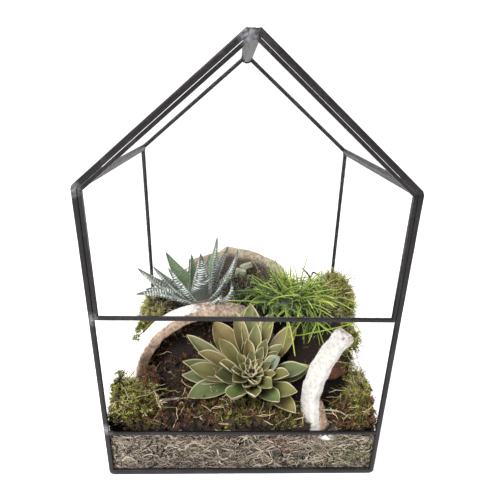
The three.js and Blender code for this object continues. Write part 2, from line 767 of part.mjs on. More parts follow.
function rosetteCore(grow) {
  const { axis } = rosetteFrame();
  const at = (along) => rosette.foot.clone().addScaledVector(axis, along);
  const neck = at(-5);
  const low = vector(neck.x, neck.y + 2, bedTop + gap - grow);
  return taperedRod([at(13), at(4), neck, low], [2.5 + grow, 5 + grow, 6 + grow, 6.5 + grow, 6 + grow], 8);
}

// Zebra plant: stiff pointed leaves from one crown, as tip, sag and half width
const zebra = {
  crown: vector(-38, -2, 99),
  leaves: [
    [[-89, -6, 134], 0.06, 7.4], [[-79, 8, 129], 0.03, 6.4], [[-82, -14, 118], 0, 8],
    [[-88, -22, 117], -0.06, 6], [[-62, -14, 138], 0, 6.4], [[-70, 22, 137], 0.02, 9],
    [[-35, -20, 153], 0.02, 8.2], [[-23, 4, 159], 0, 7], [[-14, 22, 143], 0, 6],
    [[-6, -2, 150], 0.07, 6], [[-11, -14, 127], 0.24, 4.6], [[-18, -24, 120], 0.08, 5.4],
    [[-50, 30, 128], 0.03, 6], [[-31, 33, 131], 0.03, 6], [[-68, 24, 119], 0.03, 5.6],
    [[-45, 6, 142], 0, 5], [[-31, -4, 140], 0, 4.6],
  ],
};

function zebraLeaves(grow) {
  const section = [[-1, 0.25], [0, -0.1], [1, 0.25], [0.5, -0.6], [-0.5, -0.6]];
  const stations = [[0, 0.8, 0.9], [0.2, 1, 1], [0.48, 0.82, 0.85], [0.76, 0.42, 0.6], [1, 0, 0]];
  return zebra.leaves.map(([tipAt, sag, half]) => {
    const tip = vector(...tipAt);
    const outward = tip.clone().sub(zebra.crown).setZ(0).normalize();
    const base = zebra.crown.clone().addScaledVector(outward, 4);
    const face = vector(0, 0, 1).addScaledVector(outward, -0.8).normalize();
    return leaf({ base, tip, face, sag, half, thickness: 4.8, section, stations }, grow);
  });
}

const zebraCrown = (grow) => lump({
  at: zebra.crown.toArray(), size: [8, 8, 6], seed: 4, floor: zebra.crown.z - 6, detail: [10, 6],
}, grow);

// Needle plant: thin arching blades from a low cushion, and a few long ones
// that hang forward over the rosette and the side piece
const needles = {
  centre: vector(42, -6, 104), spread: [30, 17], blades: 70, longest: 46, seed: 31,
  hanging: [
    [[36, -22, 106], [33, -44, 114], [32, -54, 106], [29, -56, 92]],
    [[40, -22, 106], [34, -44, 111], [33, -54, 103], [38.5, -57, 85]],
    [[54, -22, 106], [55, -48, 111], [64, -72, 109], [73, -80, 103]],
    [[50, -20, 106], [50, -40, 109], [46, -50, 103], [38, -56, 100]],
    [[60, -18, 104], [66, -44, 108], [76, -62, 117], [84, -70, 119]],
    [[44, -20, 106], [46, -34, 107], [46, -43, 100], [46, -46, 91]],
    [[56, -20, 106], [56, -35, 108], [56, -45, 98], [54, -49, 83]],
    [[62, -18, 106], [64, -32, 108], [65, -42, 100], [65, -46, 90]],
  ],
};

function needleBlades(grow) {
  const random = seeded(needles.seed);
  const radii = [1.25, 1.15, 0.6].map((radius) => radius + grow);
  const free = Array.from({ length: needles.blades }, (_, i) => {
    const ring = Math.sqrt((i + 0.5) / needles.blades);
    const bearing = i * goldenAngle;
    const root = needles.centre.clone().add(vector(
      Math.cos(bearing) * needles.spread[0] * ring * 0.85,
      Math.sin(bearing) * needles.spread[1] * ring * 0.85, 1));
    const heading = bearing + mix(-1.2, 1.2, random());
    const length = needles.longest * mix(0.55, 1, random());
    const lift = mix(1.35, 0.55, ring) + mix(-0.25, 0.2, random());
    const droop = length * mix(0.1, 0.55, ring) * mix(0.6, 1.3, random());
    const reach = length * Math.cos(lift);
    const rise = length * Math.sin(lift);
    return [0, 0.5, 1].map((t) => root.clone().add(vector(
      Math.cos(heading) * reach * t, Math.sin(heading) * reach * t, rise * t - droop * t * t)));
  });
  const hanging = needles.hanging.map((route) => route.map((point) => vector(...point)));
  return [...free, ...hanging].map((route) => taperedRod(route, radii, 3));
}

const needleCushion = (grow) => lump({
  at: needles.centre.toArray(), size: [needles.spread[0], needles.spread[1], 11],
  seed: 12, rough: 0.22, floor: needles.centre.z - 7, detail: [14, 8],
}, grow);

// Twigs and stems that lie on or stand in the moss and soil
const stems = {
  grey_twig: { routes: [[[-80, -66, 47], [-64, -64, 48], [-49, -62, 48.5]]], radii: [1, 1.2, 1.1, 1.1] },
  cream_sprig: { routes: [[[-76, -52, 59], [-70, -57, 49], [-65, -61, 40]]], radii: [0.7, 0.9, 1, 1] },
  light_twig: { routes: [[[-26, -83, 48], [-12, -83.4, 48.6], [2, -82.6, 47]]], radii: [0.8, 1.6, 1.6, 0.9] },
  grass_stem: {
    routes: [[[57, -80, 51], [70, -82, 53.5], [80, -83, 48], [84, -83, 39]]],
    radii: [0.6, 0.8, 0.8, 0.8, 0.8],
  },
  brown_stem: { routes: [[[77.6, -74, 71], [76, -74, 58], [74, -73, 39]]], radii: [0.6, 0.8, 0.9, 0.9] },
  dark_twig: {
    routes: [[[60, 13, 96], [60, 18, 114], [53, 20, 123]], [[60, 18, 112], [62.7, 20, 119], [68, 21, 116]]],
    radii: [1, 1, 0.9, 0.7],
  },
};

function stemSolid({ routes, radii }, grow = 0) {
  return join(routes.map((route) => taperedRod(
    route.map((point) => vector(...point)), radii.map((radius) => radius + grow), 6)));
}

// Colours and finishes
function finish(color, roughness, metalness = 0) {
  return new THREE.MeshStandardMaterial({ color, roughness, metalness });
}

const materials = {
  lead: () => finish(0x3b383c, 0.45, 0.6),
  glass: () => Object.assign(finish(0xf2f8f6, 0.05), { transparent: true, opacity: 0.2 }),
  dryMoss: () => finish(0x8f7f68, 0.95),
  soil: () => finish(0x3a2a1f, 0.95),
  moss: () => finish(0x6f6a33, 0.95),
  oliveMoss: () => finish(0x8a8f3c, 0.95),
  rustMoss: () => finish(0x7d4f2f, 0.95),
  clay: () => finish(0xe6dcd2, 0.85),
  redClay: () => finish(0x8f5745, 0.9),
  stone: () => finish(0xc9ccc0, 0.8),
  rosetteLeaf: () => finish(0x87896a, 0.55),
  zebraLeaf: () => finish(0x6f8073, 0.5),
  needleLeaf: () => finish(0x86ab3c, 0.55),
  twig: () => finish(0xa08a6c, 0.8),
  darkTwig: () => finish(0x4a3a30, 0.85),
};
const surfaces = {
  moss_front: materials.moss, moss_left: materials.rustMoss, moss_right: materials.rustMoss,
  moss_back_right: materials.oliveMoss, moss_back_left: materials.oliveMoss,
  clay_sherd: materials.redClay, dark_twig: materials.darkTwig,
};

const terrarium = new THREE.Group();

function place(name, geometry, material) {
  const mesh = new THREE.Mesh(geometry, material());
  mesh.name = name;
  terrarium.add(mesh);
}

for (const [name, geometry] of Object.entries({
  ...caseBars(), ...frontFoils(), ...crossBars(), ...lengthwiseSeams(),
})) {
  place(name, geometry, materials.lead);
}
for (const [name, geometry] of Object.entries(panes())) {
  place(name, geometry, materials.glass);
}

// Planted pieces. Pot pieces and stones stand first and keep their room. Soil
// leaves plain holes for the crowns, leaves end where they would run into the
// ground or a pot piece, and moss spikes give way to everything else.
const each = (record, build) => Object.values(record).map(build);
const keep = (solid, floor = bedTop + gap) => fromSolid(
  mainBody(solid.intersect(insideCase(floor))).simplify(shortest));

const pots = {
  cave_piece: (grow) => archShell(caveArch, grow),
  side_piece: (grow) => archShell(sideArch, grow),
  pot_back: potWall,
};
const potRoom = [...each(pots, (build) => build(room)), claySherd(room)];
const stoneRoom = each(stones, (stone) => lump(stone, room));
const stemRoom = each(stems, (stem) => stemSolid(stem, room));
const crownRoom = [rosetteCore(room), zebraCrown(room), needleCushion(room)];
const hangingRoom = each(hangingMoss, ({ lumps }) => join(lumps.map((item) => lump(item, room))));
const soilRoom = join([mound(room), rightSlope(room), caveSlope(room)]);
const cushionRoom = each(moss, (item) => mossCushion(item, room));

for (const [name, build] of Object.entries(pots)) place(name, keep(build(0), 0), materials.clay);
place('clay_sherd', keep(claySherd(0).subtract(potRoom[1])), surfaces.clay_sherd);
for (const [name, stone] of Object.entries(stones)) place(name, keep(lump(stone), 0), materials.stone);
for (const [name, stem] of Object.entries(stems)) {
  place(name, keep(stemSolid(stem)), surfaces[name] ?? materials.twig);
}

place('tray_fill', keep(cut(trayFill(), [potRoom[1], stoneRoom[0]]), 0), materials.dryMoss);
const soilCuts = [...potRoom, ...stoneRoom, ...stemRoom, ...crownRoom, ...hangingRoom];
const rosetteRoom = join(rosetteLeaves(room));
const roots = cut(join(caveRoots()), [rosetteRoom]);
const soil = join([mound(0), rightSlope(0), caveSlope(0), roots]);
place('soil_mound', keep(cut(soil, soilCuts)), materials.soil);

const ground = [...potRoom, ...stoneRoom, ...stemRoom, ...hangingRoom, ...cushionRoom, soilRoom];
const zebraRoom = join(zebraLeaves(room));
const bladeRoom = join(needleBlades(room));
place('zebra_plant', keep(zebraCrown(0).add(cut(join(zebraLeaves(0)), ground))), materials.zebraLeaf);
place('rosette', keep(rosetteCore(0).add(cut(join(rosetteLeaves(0)), ground))), materials.rosetteLeaf);
const blades = cut(join(needleBlades(0)), [...ground, zebraRoom, rosetteRoom]);
place('needle_plant', keep(needleCushion(0).add(blades)), materials.needleLeaf);

const plantRoom = [zebraRoom, bladeRoom, rosetteRoom, ...crownRoom];
for (const [name, item] of Object.entries(moss)) {
  const others = cushionRoom.filter((_, i) => Object.keys(moss)[i] !== name);
  const solids = [...potRoom, ...stemRoom, ...others, soilRoom];
  const cushion = cut(mossCushion(item), [...solids, rosetteCore(room)]);
  const spikes = cut(join(mossSpikes(item)), [...solids, ...plantRoom]);
  place(name, keep(cushion.add(spikes)), surfaces[name]);
}
for (const [name, item] of Object.entries(hangingMoss)) {
  const solids = [...potRoom, ...stemRoom, ...crownRoom];
  const cushion = cut(join(item.lumps.map((entry) => lump(entry))), solids);
  const spikes = cut(join(lumpSpikes(item)), [...solids, ...plantRoom, soilRoom]);
  place(name, keep(cushion.add(spikes)), surfaces[name]);
}

export default terrarium;
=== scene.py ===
# %% [markdown]
# A house-shaped glass terrarium: dark leaded seams, clear panes, and a planting of
# three succulents, moss and broken flowerpot pieces. The construction comes from
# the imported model, and this lesson dresses it. Every shape is worked out with
# numpy in millimetres, in the model's own frame, and turned to metres when its
# mesh is made. The open window faces -Y and +Z is up.

# %% Load the fixed frame
import itertools

import bpy
import numpy as np
from mathutils import Matrix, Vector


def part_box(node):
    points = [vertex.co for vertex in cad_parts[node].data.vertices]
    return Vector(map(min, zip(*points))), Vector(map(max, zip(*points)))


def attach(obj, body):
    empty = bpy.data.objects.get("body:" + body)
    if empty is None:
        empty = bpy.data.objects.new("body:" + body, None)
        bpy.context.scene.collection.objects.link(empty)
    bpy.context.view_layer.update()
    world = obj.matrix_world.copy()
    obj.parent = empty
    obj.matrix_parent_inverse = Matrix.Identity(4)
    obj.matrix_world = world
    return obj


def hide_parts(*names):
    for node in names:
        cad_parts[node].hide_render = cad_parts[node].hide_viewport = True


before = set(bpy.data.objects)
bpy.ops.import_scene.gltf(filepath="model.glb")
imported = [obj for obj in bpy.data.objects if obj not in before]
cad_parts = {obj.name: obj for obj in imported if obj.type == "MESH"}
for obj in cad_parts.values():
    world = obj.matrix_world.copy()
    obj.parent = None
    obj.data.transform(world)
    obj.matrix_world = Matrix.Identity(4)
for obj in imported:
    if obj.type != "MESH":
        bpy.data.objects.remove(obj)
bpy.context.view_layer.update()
MM = 0.001
print("nodes in the frame:", len(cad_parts))

# %% [markdown]
# Natural things need noise that is the same on every run. Value noise is enough:
# each corner of a grid of cubes has a fixed random value, made by mixing the bits
# of its whole-number address, and the values are blended inside each cube.

# %% Repeatable noise and small curve helpers
WORD = 0xFFFFFFFF
AXIS_FACTORS = (374761393, 668265263, 1274126177)
SEED_FACTOR = 974634777
FOLDS = ((13, 1274126177), (15, 2246822519))
GRID_SHIFT = 0.37


def corner_value(cell, seed):
    """Whole-number grid addresses to values from -1 to 1, by multiplying and folding their bits."""
    key = sum(cell[..., axis] * factor for axis, factor in enumerate(AXIS_FACTORS))
    key = (key + seed * SEED_FACTOR) & WORD
    for shift, factor in FOLDS:
        key = ((key ^ (key >> shift)) * factor) & WORD
    return (key ^ (key >> 16)) / 2**31 - 1.0


def grain(points, size, seed):
    """Value noise from -1 to 1: corner values blended with the weight 3t² - 2t³ along each axis."""
    scaled = np.asarray(points, float) / size + GRID_SHIFT
    cell = np.floor(scaled).astype(np.int64)
    t = scaled - cell
    t = t * t * (3 - 2 * t)
    total = np.zeros(scaled.shape[:-1])
    for corner in itertools.product((0, 1), repeat=3):
        step = np.array(corner)
        weight = np.prod(np.where(step == 1, t, 1 - t), axis=-1)
        total += weight * corner_value(cell + step, seed)
    return total


def cloudy(points, size, seed):
    """Three layers of value noise, each half as large and half as strong as the one before. Their
    sum is divided by 1 + 1/2 + 1/4, so that it stays between -1 and 1."""
    layers = [grain(points, size / 2**k, seed + k) / 2**k for k in range(3)]
    return sum(layers) / 1.75


def smooth(low, high, value):
    """0 below low, 1 above high and 3t² - 2t³ between them."""
    t = np.clip((np.asarray(value, float) - low) / (high - low), 0, 1)
    return t * t * (3 - 2 * t)


def mix(a, b, t):
    return a + (b - a) * t


def unit(vectors):
    return vectors / np.maximum(np.linalg.norm(vectors, axis=-1, keepdims=True), 1e-9)


def sides_of(along, up):
    """Two directions across each tangent: side = up × along, over = along × side."""
    side = unit(np.cross(up, along))
    return side, np.cross(along, side)


print("noise spread:", round(float(grain(np.random.default_rng(1).random((500, 3)) * 90, 7, 3).std()), 2))

# %% [markdown]
# A mesh is made from arrays in one go. Most pieces here are bundles of tubes or
# leaves: rings of points carried along a path, with a pole at each end, so every
# item is a closed skin. One call builds a whole bundle, and values that the
# materials need, such as how near a point is to a leaf's margin, go with the
# points as named attributes.

# %% Meshes from arrays
ROOT = "root"


def make_piece(name, parts, material, replaces=(), flat=False):
    """Joins parts, each (points in mm, quads, triangles, {attribute: values}), into one object."""
    points, loops, sizes, attributes = [], [], [], {}
    start = 0
    for part_points, quads, triangles, values in parts:
        points.append(part_points)
        for faces in (quads, triangles):
            if len(faces):
                loops.append((faces + start).ravel())
                sizes.append(np.full(len(faces), faces.shape[1]))
        for key, value in values.items():
            attributes.setdefault(key, []).append(np.broadcast_to(value, len(part_points)))
        start += len(part_points)
    points, loops, sizes = np.concatenate(points), np.concatenate(loops), np.concatenate(sizes)
    mesh = bpy.data.meshes.new(name)
    mesh.vertices.add(len(points))
    mesh.vertices.foreach_set("co", (points * MM).astype(np.float32).ravel())
    mesh.loops.add(len(loops))
    mesh.loops.foreach_set("vertex_index", loops.astype(np.int32))
    mesh.polygons.add(len(sizes))
    mesh.polygons.foreach_set("loop_start", (np.cumsum(sizes) - sizes).astype(np.int32))
    mesh.polygons.foreach_set("loop_total", sizes.astype(np.int32))
    mesh.update(calc_edges=True)
    mesh.polygons.foreach_set("use_smooth", np.full(len(sizes), not flat))
    for key, values in attributes.items():
        layer = mesh.attributes.new(key, "FLOAT", "POINT")
        layer.data.foreach_set("value", np.concatenate(values).astype(np.float32))
    mesh.materials.append(material)
    piece = bpy.data.objects.new(name, mesh)
    bpy.context.scene.collection.objects.link(piece)
    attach(piece, ROOT)
    if replaces:
        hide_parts(*replaces)
    print(f"{name}: {(sizes - 2).sum()} triangles")


def skin(rings, first, last, **values):
    """Closed skins from rings[item, station, side] and one pole at each end of each item.
    A value may be one number per item, or one per item and station."""
    items, stations, sides, _ = rings.shape
    body = stations * sides
    points = np.concatenate([rings.reshape(items, body, 3), first[:, None], last[:, None]], axis=1)
    row = np.arange(stations - 1)[:, None] * sides
    here = np.arange(sides)[None]
    there = (here + 1) % sides
    quads = np.stack([row + here, row + there, row + sides + there, row + sides + here], -1).reshape(-1, 4)
    near, beside = here[0], there[0]
    end = (stations - 1) * sides
    fans = np.concatenate([
        np.stack([np.full(sides, body), beside, near], -1),
        np.stack([np.full(sides, body + 1), end + near, end + beside], -1),
    ])
    offset = (np.arange(items) * (body + 2))[:, None, None]
    spread = {}
    for key, value in values.items():
        value = np.asarray(value, float)
        if value.ndim == 1:
            value = np.repeat(value[:, None], stations, 1)
        if value.ndim == 2:
            value = np.repeat(value[:, :, None], sides, 2)
        flat_values = value.reshape(items, body)
        poles = [value[:, 0].mean(1)[:, None], value[:, -1].mean(1)[:, None]]
        spread[key] = np.concatenate([flat_values, *poles], axis=1).ravel()
    return (
        points.reshape(-1, 3),
        (quads[None] + offset).reshape(-1, 4),
        (fans[None] + offset).reshape(-1, 3),
        spread,
    )


def tubes(routes, radii, sides, **values):
    """Round-sided strands: a circle of the given radius carried along each route[item, station]. The
    poles stand half a radius before the first circle and 0.8 of a radius after the last."""
    routes = np.asarray(routes, float)
    along = unit(np.gradient(routes, axis=1))
    steep = np.abs(along[..., 2:3]) > 0.9
    side, over = sides_of(along, np.where(steep, [1.0, 0.0, 0.0], [0.0, 0.0, 1.0]))
    turn = (2 * np.pi * np.arange(sides) / sides)[:, None]
    radii = np.broadcast_to(radii, routes.shape[:2])
    circles = np.cos(turn) * side[:, :, None] + np.sin(turn) * over[:, :, None]
    rings = routes[:, :, None] + radii[:, :, None, None] * circles
    first = routes[:, 0] - along[:, 0] * radii[:, :1] * 0.5
    last = routes[:, -1] + along[:, -1] * radii[:, -1:] * 0.8
    return skin(rings, first, last, **values)


def bezier(a, b, c, t):
    """Points on the curve (1-t)²a + 2t(1-t)b + t²c for each item, at the shares t."""
    t = t[None, :, None]
    return (1 - t) ** 2 * a[:, None] + 2 * t * (1 - t) * b[:, None] + t**2 * c[:, None]


def through(stations, values, t):
    """A smooth curve through the points (station, value): cubic pieces that share their slopes."""
    stations, values = np.array(stations, float), np.array(values, float)
    slope = np.gradient(values, stations)
    k = np.clip(np.searchsorted(stations, t, side="right") - 1, 0, len(stations) - 2)
    step = stations[k + 1] - stations[k]
    u = (t - stations[k]) / step
    rise = values[k + 1] - values[k]
    a = slope[k] * step - rise
    b = rise - slope[k + 1] * step
    return (1 - u) * values[k] + u * values[k + 1] + u * (1 - u) * ((1 - u) * a + u * b)


def smooth_route(points, steps):
    """A smooth path through a few points: each coordinate is a cubic curve over the point's number."""
    points = np.array(points, float)
    t = np.linspace(0, len(points) - 1, steps)
    return np.stack([through(np.arange(len(points)), points[:, k], t) for k in range(3)], -1)


# %% [markdown]
# Moss, soil and litter cover what the model already holds as plain solids. So a
# solid's own faces serve twice: cut finer and pushed in and out they make the
# ground, and random points on them are where shoots, crumbs and strands stand.

# %% Ground and scatter from a solid of the frame
def faces_of(node):
    """The corner points of a node's triangles in mm, as an array triangle × corner × 3."""
    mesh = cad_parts[node].data
    mesh.calc_loop_triangles()
    points = np.empty(len(mesh.vertices) * 3, np.float32)
    mesh.vertices.foreach_get("co", points)
    index = np.empty(len(mesh.loop_triangles) * 3, np.int32)
    mesh.loop_triangles.foreach_get("vertices", index)
    return points.reshape(-1, 3)[index.reshape(-1, 3)].astype(float) / MM


def weld(corners):
    """Triangle corners to shared points and an index, merging what lies within a micrometre."""
    keys = np.round(corners.reshape(-1, 3) * 1000).astype(np.int64)
    _, first, index = np.unique(keys, axis=0, return_index=True, return_inverse=True)
    return corners.reshape(-1, 3)[first], index.reshape(-1, 3)


def finer(points, triangles, longest):
    """Halves every edge longer than longest until none is left, splitting its triangles alike."""
    while True:
        edges = np.sort(triangles[:, [[0, 1], [1, 2], [2, 0]]], axis=-1)
        unique, index = np.unique(edges.reshape(-1, 2), axis=0, return_inverse=True)
        length = np.linalg.norm(points[unique[:, 0]] - points[unique[:, 1]], axis=1)
        split = length > longest
        if not split.any():
            return points, triangles
        middle = np.full(len(unique), -1)
        middle[split] = len(points) + np.arange(split.sum())
        points = np.concatenate([points, points[unique[split]].mean(1)])
        cut = middle[index.reshape(-1, 3)]
        count = (cut >= 0).sum(1)
        pieces = [triangles[count == 0]]
        full, m = triangles[count == 3], cut[count == 3]
        for corner in range(3):
            pieces.append(np.stack([full[:, corner], m[:, corner], m[:, corner - 1]], -1))
        pieces.append(m)
        for corner in range(3):
            one = (count == 1) & (cut[:, corner] >= 0)
            a, b, c = (triangles[one][:, (corner + k) % 3] for k in range(3))
            m = cut[one][:, corner]
            pieces += [np.stack(trio, -1) for trio in ((a, m, c), (m, b, c))]
            two = (count == 2) & (cut[:, corner] < 0)
            a, b, c = (triangles[two][:, (corner + k) % 3] for k in range(3))
            right, left = cut[two][:, (corner + 1) % 3], cut[two][:, (corner + 2) % 3]
            pieces += [np.stack(trio, -1) for trio in ((a, b, right), (a, right, left), (left, right, c))]
        triangles = np.concatenate(pieces)


def outward(points, triangles):
    """The outward direction at each point: the sum of the face normals round it."""
    corners = points[triangles]
    facing = np.cross(corners[:, 1] - corners[:, 0], corners[:, 2] - corners[:, 0])
    total = np.zeros_like(points)
    for corner in range(3):
        np.add.at(total, triangles[:, corner], facing)
    return unit(total)


def ground(node, longest, depth, size, seed, sunk=0.0):
    """A node's surface with finer faces, pushed along its normals by depth × noise, less sunk. The
    attribute rise keeps the noise."""
    points, triangles = finer(*weld(faces_of(node)), longest)
    rise = cloudy(points, size, seed)
    moved = points + outward(points, triangles) * (depth * rise - sunk)[:, None]
    return moved, np.zeros((0, 4), int), triangles, {"hue": np.zeros(len(points)), "rise": rise}


def scatter(node, count, rng, weigh):
    """Random points on a node's surface in mm with their outward directions, spread by area and by
    weigh(points, directions), which favours some places."""
    corners = faces_of(node)
    first, second = corners[:, 1] - corners[:, 0], corners[:, 2] - corners[:, 0]
    facing = np.cross(first, second)
    weight = np.linalg.norm(facing, axis=1) * weigh(corners.mean(1), unit(facing))
    pick = rng.choice(len(corners), count, p=weight / weight.sum())
    share = rng.random((count, 2))
    over = share.sum(1) > 1
    share[over] = 1 - share[over]
    points = corners[pick, 0] + share[:, :1] * first[pick] + share[:, 1:] * second[pick]
    return points, unit(facing[pick])


print("faces of the soil:", len(faces_of("soil_mound")))

# %% [markdown]
# Camera, floor and light. The camera stands where the photographer stood: close in
# front of the window and almost as high as the ridge, looking down about 21
# degrees, with the case turned a little. The floor is plain and pale. A large soft
# box lights the planting from the front left, two weak ones help from the right and
# from behind, and the pale surroundings fill the shadows.

# %% Camera
CAMERA_PLACE = np.array([-7.418, -311.328, 269.445])
CAMERA_RIGHT = np.array([0.99931, -0.02741, 0.02502])
CAMERA_DOWN = np.array([0.01335, -0.36379, -0.93139])
CAMERA_VIEW = np.array([0.0346, 0.9311, -0.3632])
FOCAL_PIXELS = 402.425
FRAME_PIXELS = 500
SENSOR_WIDTH = 36


def place_camera():
    """The camera's axes are the photograph's right, up and towards the viewer."""
    data = bpy.data.cameras.new("camera")
    data.sensor_width = SENSOR_WIDTH
    data.lens = FOCAL_PIXELS * SENSOR_WIDTH / FRAME_PIXELS
    data.clip_start = 0.01
    camera = bpy.data.objects.new("camera", data)
    axes = np.column_stack([unit(CAMERA_RIGHT), unit(-CAMERA_DOWN), unit(-CAMERA_VIEW)])
    pose = Matrix([list(row) for row in axes]).to_4x4()
    pose.translation = (CAMERA_PLACE * MM).tolist()
    camera.matrix_world = pose
    bpy.context.scene.collection.objects.link(camera)
    bpy.context.scene.camera = camera
    return camera


print("lens:", round(place_camera().data.lens, 2), "mm")


# %% Materials: small helpers
def linear(red, green, blue):
    """A screen colour from 0 to 255 as the linear colour that shaders use."""
    share = np.array([red, green, blue]) / 255
    low = share / 12.92
    high = ((share + 0.055) / 1.055) ** 2.4
    return (*np.where(share <= 0.04045, low, high).tolist(), 1.0)


def new_material(name):
    material = bpy.data.materials.new(name)
    material.use_nodes = True
    tree = material.node_tree
    return material, tree, tree.nodes["Principled BSDF"]


def feed(tree, socket, value):
    """Links the socket to what comes from a node, and sets any other value on it."""
    if isinstance(value, bpy.types.NodeSocket):
        tree.links.new(value, socket)
    else:
        socket.default_value = value


def set_sockets(tree, node, **sockets):
    """Feeds a node's inputs by their names, with _ for a space."""
    for key, value in sockets.items():
        feed(tree, node.inputs[key.replace("_", " ")], value)


def add(tree, kind, settings=None, **sockets):
    """A node with its settings, and with values or links given to its inputs by name."""
    node = tree.nodes.new(kind)
    for key, value in (settings or {}).items():
        setattr(node, key, value)
    set_sockets(tree, node, **sockets)
    return node


def place_output(tree):
    return add(tree, "ShaderNodeTexCoord").outputs["Object"]


def attribute(tree, name):
    return add(tree, "ShaderNodeAttribute", {"attribute_name": name}).outputs["Fac"]


def maths(tree, operation, *values):
    """The result of one sum on values that are numbers or come from nodes."""
    node = add(tree, "ShaderNodeMath", {"operation": operation})
    for socket, value in zip(node.inputs, values):
        feed(tree, socket, value)
    return node.outputs[0]


def map_range(tree, value, low, high, to_low, to_high):
    """Carries value from low..high to to_low..to_high, and stops at the ends."""
    return add(
        tree, "ShaderNodeMapRange", Value=value, From_Min=low, From_Max=high, To_Min=to_low, To_Max=to_high
    ).outputs["Result"]


def ramp(tree, value, stops):
    """A colour ramp over value. Each stop is a position with a screen colour: red, green and blue."""
    node = add(tree, "ShaderNodeValToRGB", Fac=value)
    elements = node.color_ramp.elements
    for position, *_ in stops[1:-1]:
        elements.new(position)
    ordered = sorted(elements, key=lambda element: element.position)
    for element, (position, *colour) in zip(ordered, stops):
        element.position, element.color = position, linear(*colour)
    return node.outputs["Color"]


def blend_colours(tree, factor, first, second, mode="MIX"):
    """The node's sockets 0, 6 and 7 are its factor and its two colours, and output 2 is the blend."""
    node = add(tree, "ShaderNodeMix", {"data_type": "RGBA", "blend_type": mode})
    for number, value in ((0, factor), (6, first), (7, second)):
        feed(tree, node.inputs[number], value)
    return node.outputs[2]


def shaded(tree, colour, amount):
    """The colour times amount: darker below 1 and brighter above it."""
    return blend_colours(tree, 1.0, colour, amount, "MULTIPLY")


def bump(tree, height, strength, distance):
    return add(tree, "ShaderNodeBump", Height=height, Strength=strength, Distance=distance).outputs["Normal"]


# %% [markdown]
# Two effects are shared by most finishes, so each is a shader node group that is
# built once. Mottle gives an uneven mask from two noises of different size. Speckle
# gives small dark or pale dots. Both put out only values that change over the
# surface, and the colours stay in each material.

# %% Shared node groups
def group_with(name, numbers, masks):
    """A node group that takes a Vector and some numbers and gives masks."""
    tree = bpy.data.node_groups.new(name, "ShaderNodeTree")
    tree.interface.new_socket("Vector", in_out="INPUT", socket_type="NodeSocketVector")
    for way, names in (("INPUT", numbers), ("OUTPUT", masks)):
        for socket_name in names:
            tree.interface.new_socket(socket_name, in_out=way, socket_type="NodeSocketFloat")
    return tree, tree.nodes.new("NodeGroupInput"), tree.nodes.new("NodeGroupOutput")


def mottle_group():
    """Fine Mask = fine noise. Mask = coarse and fine noise added, and stretched to reach 0 and 1."""
    tree, given, result = group_with("mottle", ("Coarse", "Fine"), ("Mask", "Fine Mask"))
    coarse, fine = (
        add(tree, "ShaderNodeTexNoise", Vector=given.outputs["Vector"], Scale=given.outputs[key],
            Detail=5.0, Roughness=0.6).outputs["Fac"]
        for key in ("Coarse", "Fine"))
    mask = map_range(tree, maths(tree, "ADD", coarse, fine), 0.72, 1.28, 0, 1)
    set_sockets(tree, result, Mask=mask, Fine_Mask=fine)
    return tree


def speckle_group():
    """Mask = 1 in the middle of each cell of a Voronoi pattern, falling to 0 at the radius."""
    tree, given, result = group_with("speckle", ("Scale", "Radius"), ("Mask",))
    cells = add(tree, "ShaderNodeTexVoronoi", Vector=given.outputs["Vector"], Scale=given.outputs["Scale"])
    dots = map_range(tree, cells.outputs["Distance"], 0, given.outputs["Radius"], 1, 0)
    set_sockets(tree, result, Mask=dots)
    return tree


MOTTLE, SPECKLE = mottle_group(), speckle_group()


def mottle(tree, vector, coarse, fine):
    node = add(tree, "ShaderNodeGroup", {"node_tree": MOTTLE}, Vector=vector, Coarse=coarse, Fine=fine)
    return node.outputs["Mask"], node.outputs["Fine Mask"]


def speckle(tree, vector, scale, radius):
    node = add(tree, "ShaderNodeGroup", {"node_tree": SPECKLE}, Vector=vector, Scale=scale, Radius=radius)
    return node.outputs["Mask"]


print("shared groups:", MOTTLE.name, SPECKLE.name)


# %% Floor and lights
FLOOR_ACROSS, FLOOR_BACK = (-3000, 3000, 40), (-2500, 3500, 60)
FLOOR_GAP = 0.05
CURVE_START, CURVE_RISE = 1500, 0.0009


def floor_finish():
    material, tree, bsdf = new_material("pale_floor")
    mask, _ = mottle(tree, place_output(tree), 3.0, 20.0)
    set_sockets(
        tree, bsdf, Base_Color=ramp(tree, mask, [(0, 250, 250, 250), (1, 253, 253, 253)]), Roughness=0.8,
        Emission_Color=(1.0, 1.0, 1.0, 1.0), Emission_Strength=0.42)
    return material


def lay_floor():
    """A wide sheet just under the case that curves up far behind it: z = rise·(y - start)² there."""
    across, back = np.meshgrid(np.linspace(*FLOOR_ACROSS), np.linspace(*FLOOR_BACK), indexing="ij")
    lift = CURVE_RISE * np.clip(back - CURVE_START, 0, None) ** 2 - FLOOR_GAP
    points = np.stack([across, back, lift], -1).reshape(-1, 3)
    columns, rows = across.shape
    start = np.arange(columns - 1)[:, None] * rows + np.arange(rows - 1)
    faces = start.reshape(-1, 1) + [0, rows, rows + 1, 1]
    mesh = bpy.data.meshes.new("floor")
    mesh.from_pydata((points * MM).tolist(), [], faces.tolist())
    mesh.polygons.foreach_set("use_smooth", np.ones(len(mesh.polygons), bool))
    mesh.materials.append(floor_finish())
    floor = bpy.data.objects.new("floor", mesh)
    bpy.context.scene.collection.objects.link(floor)


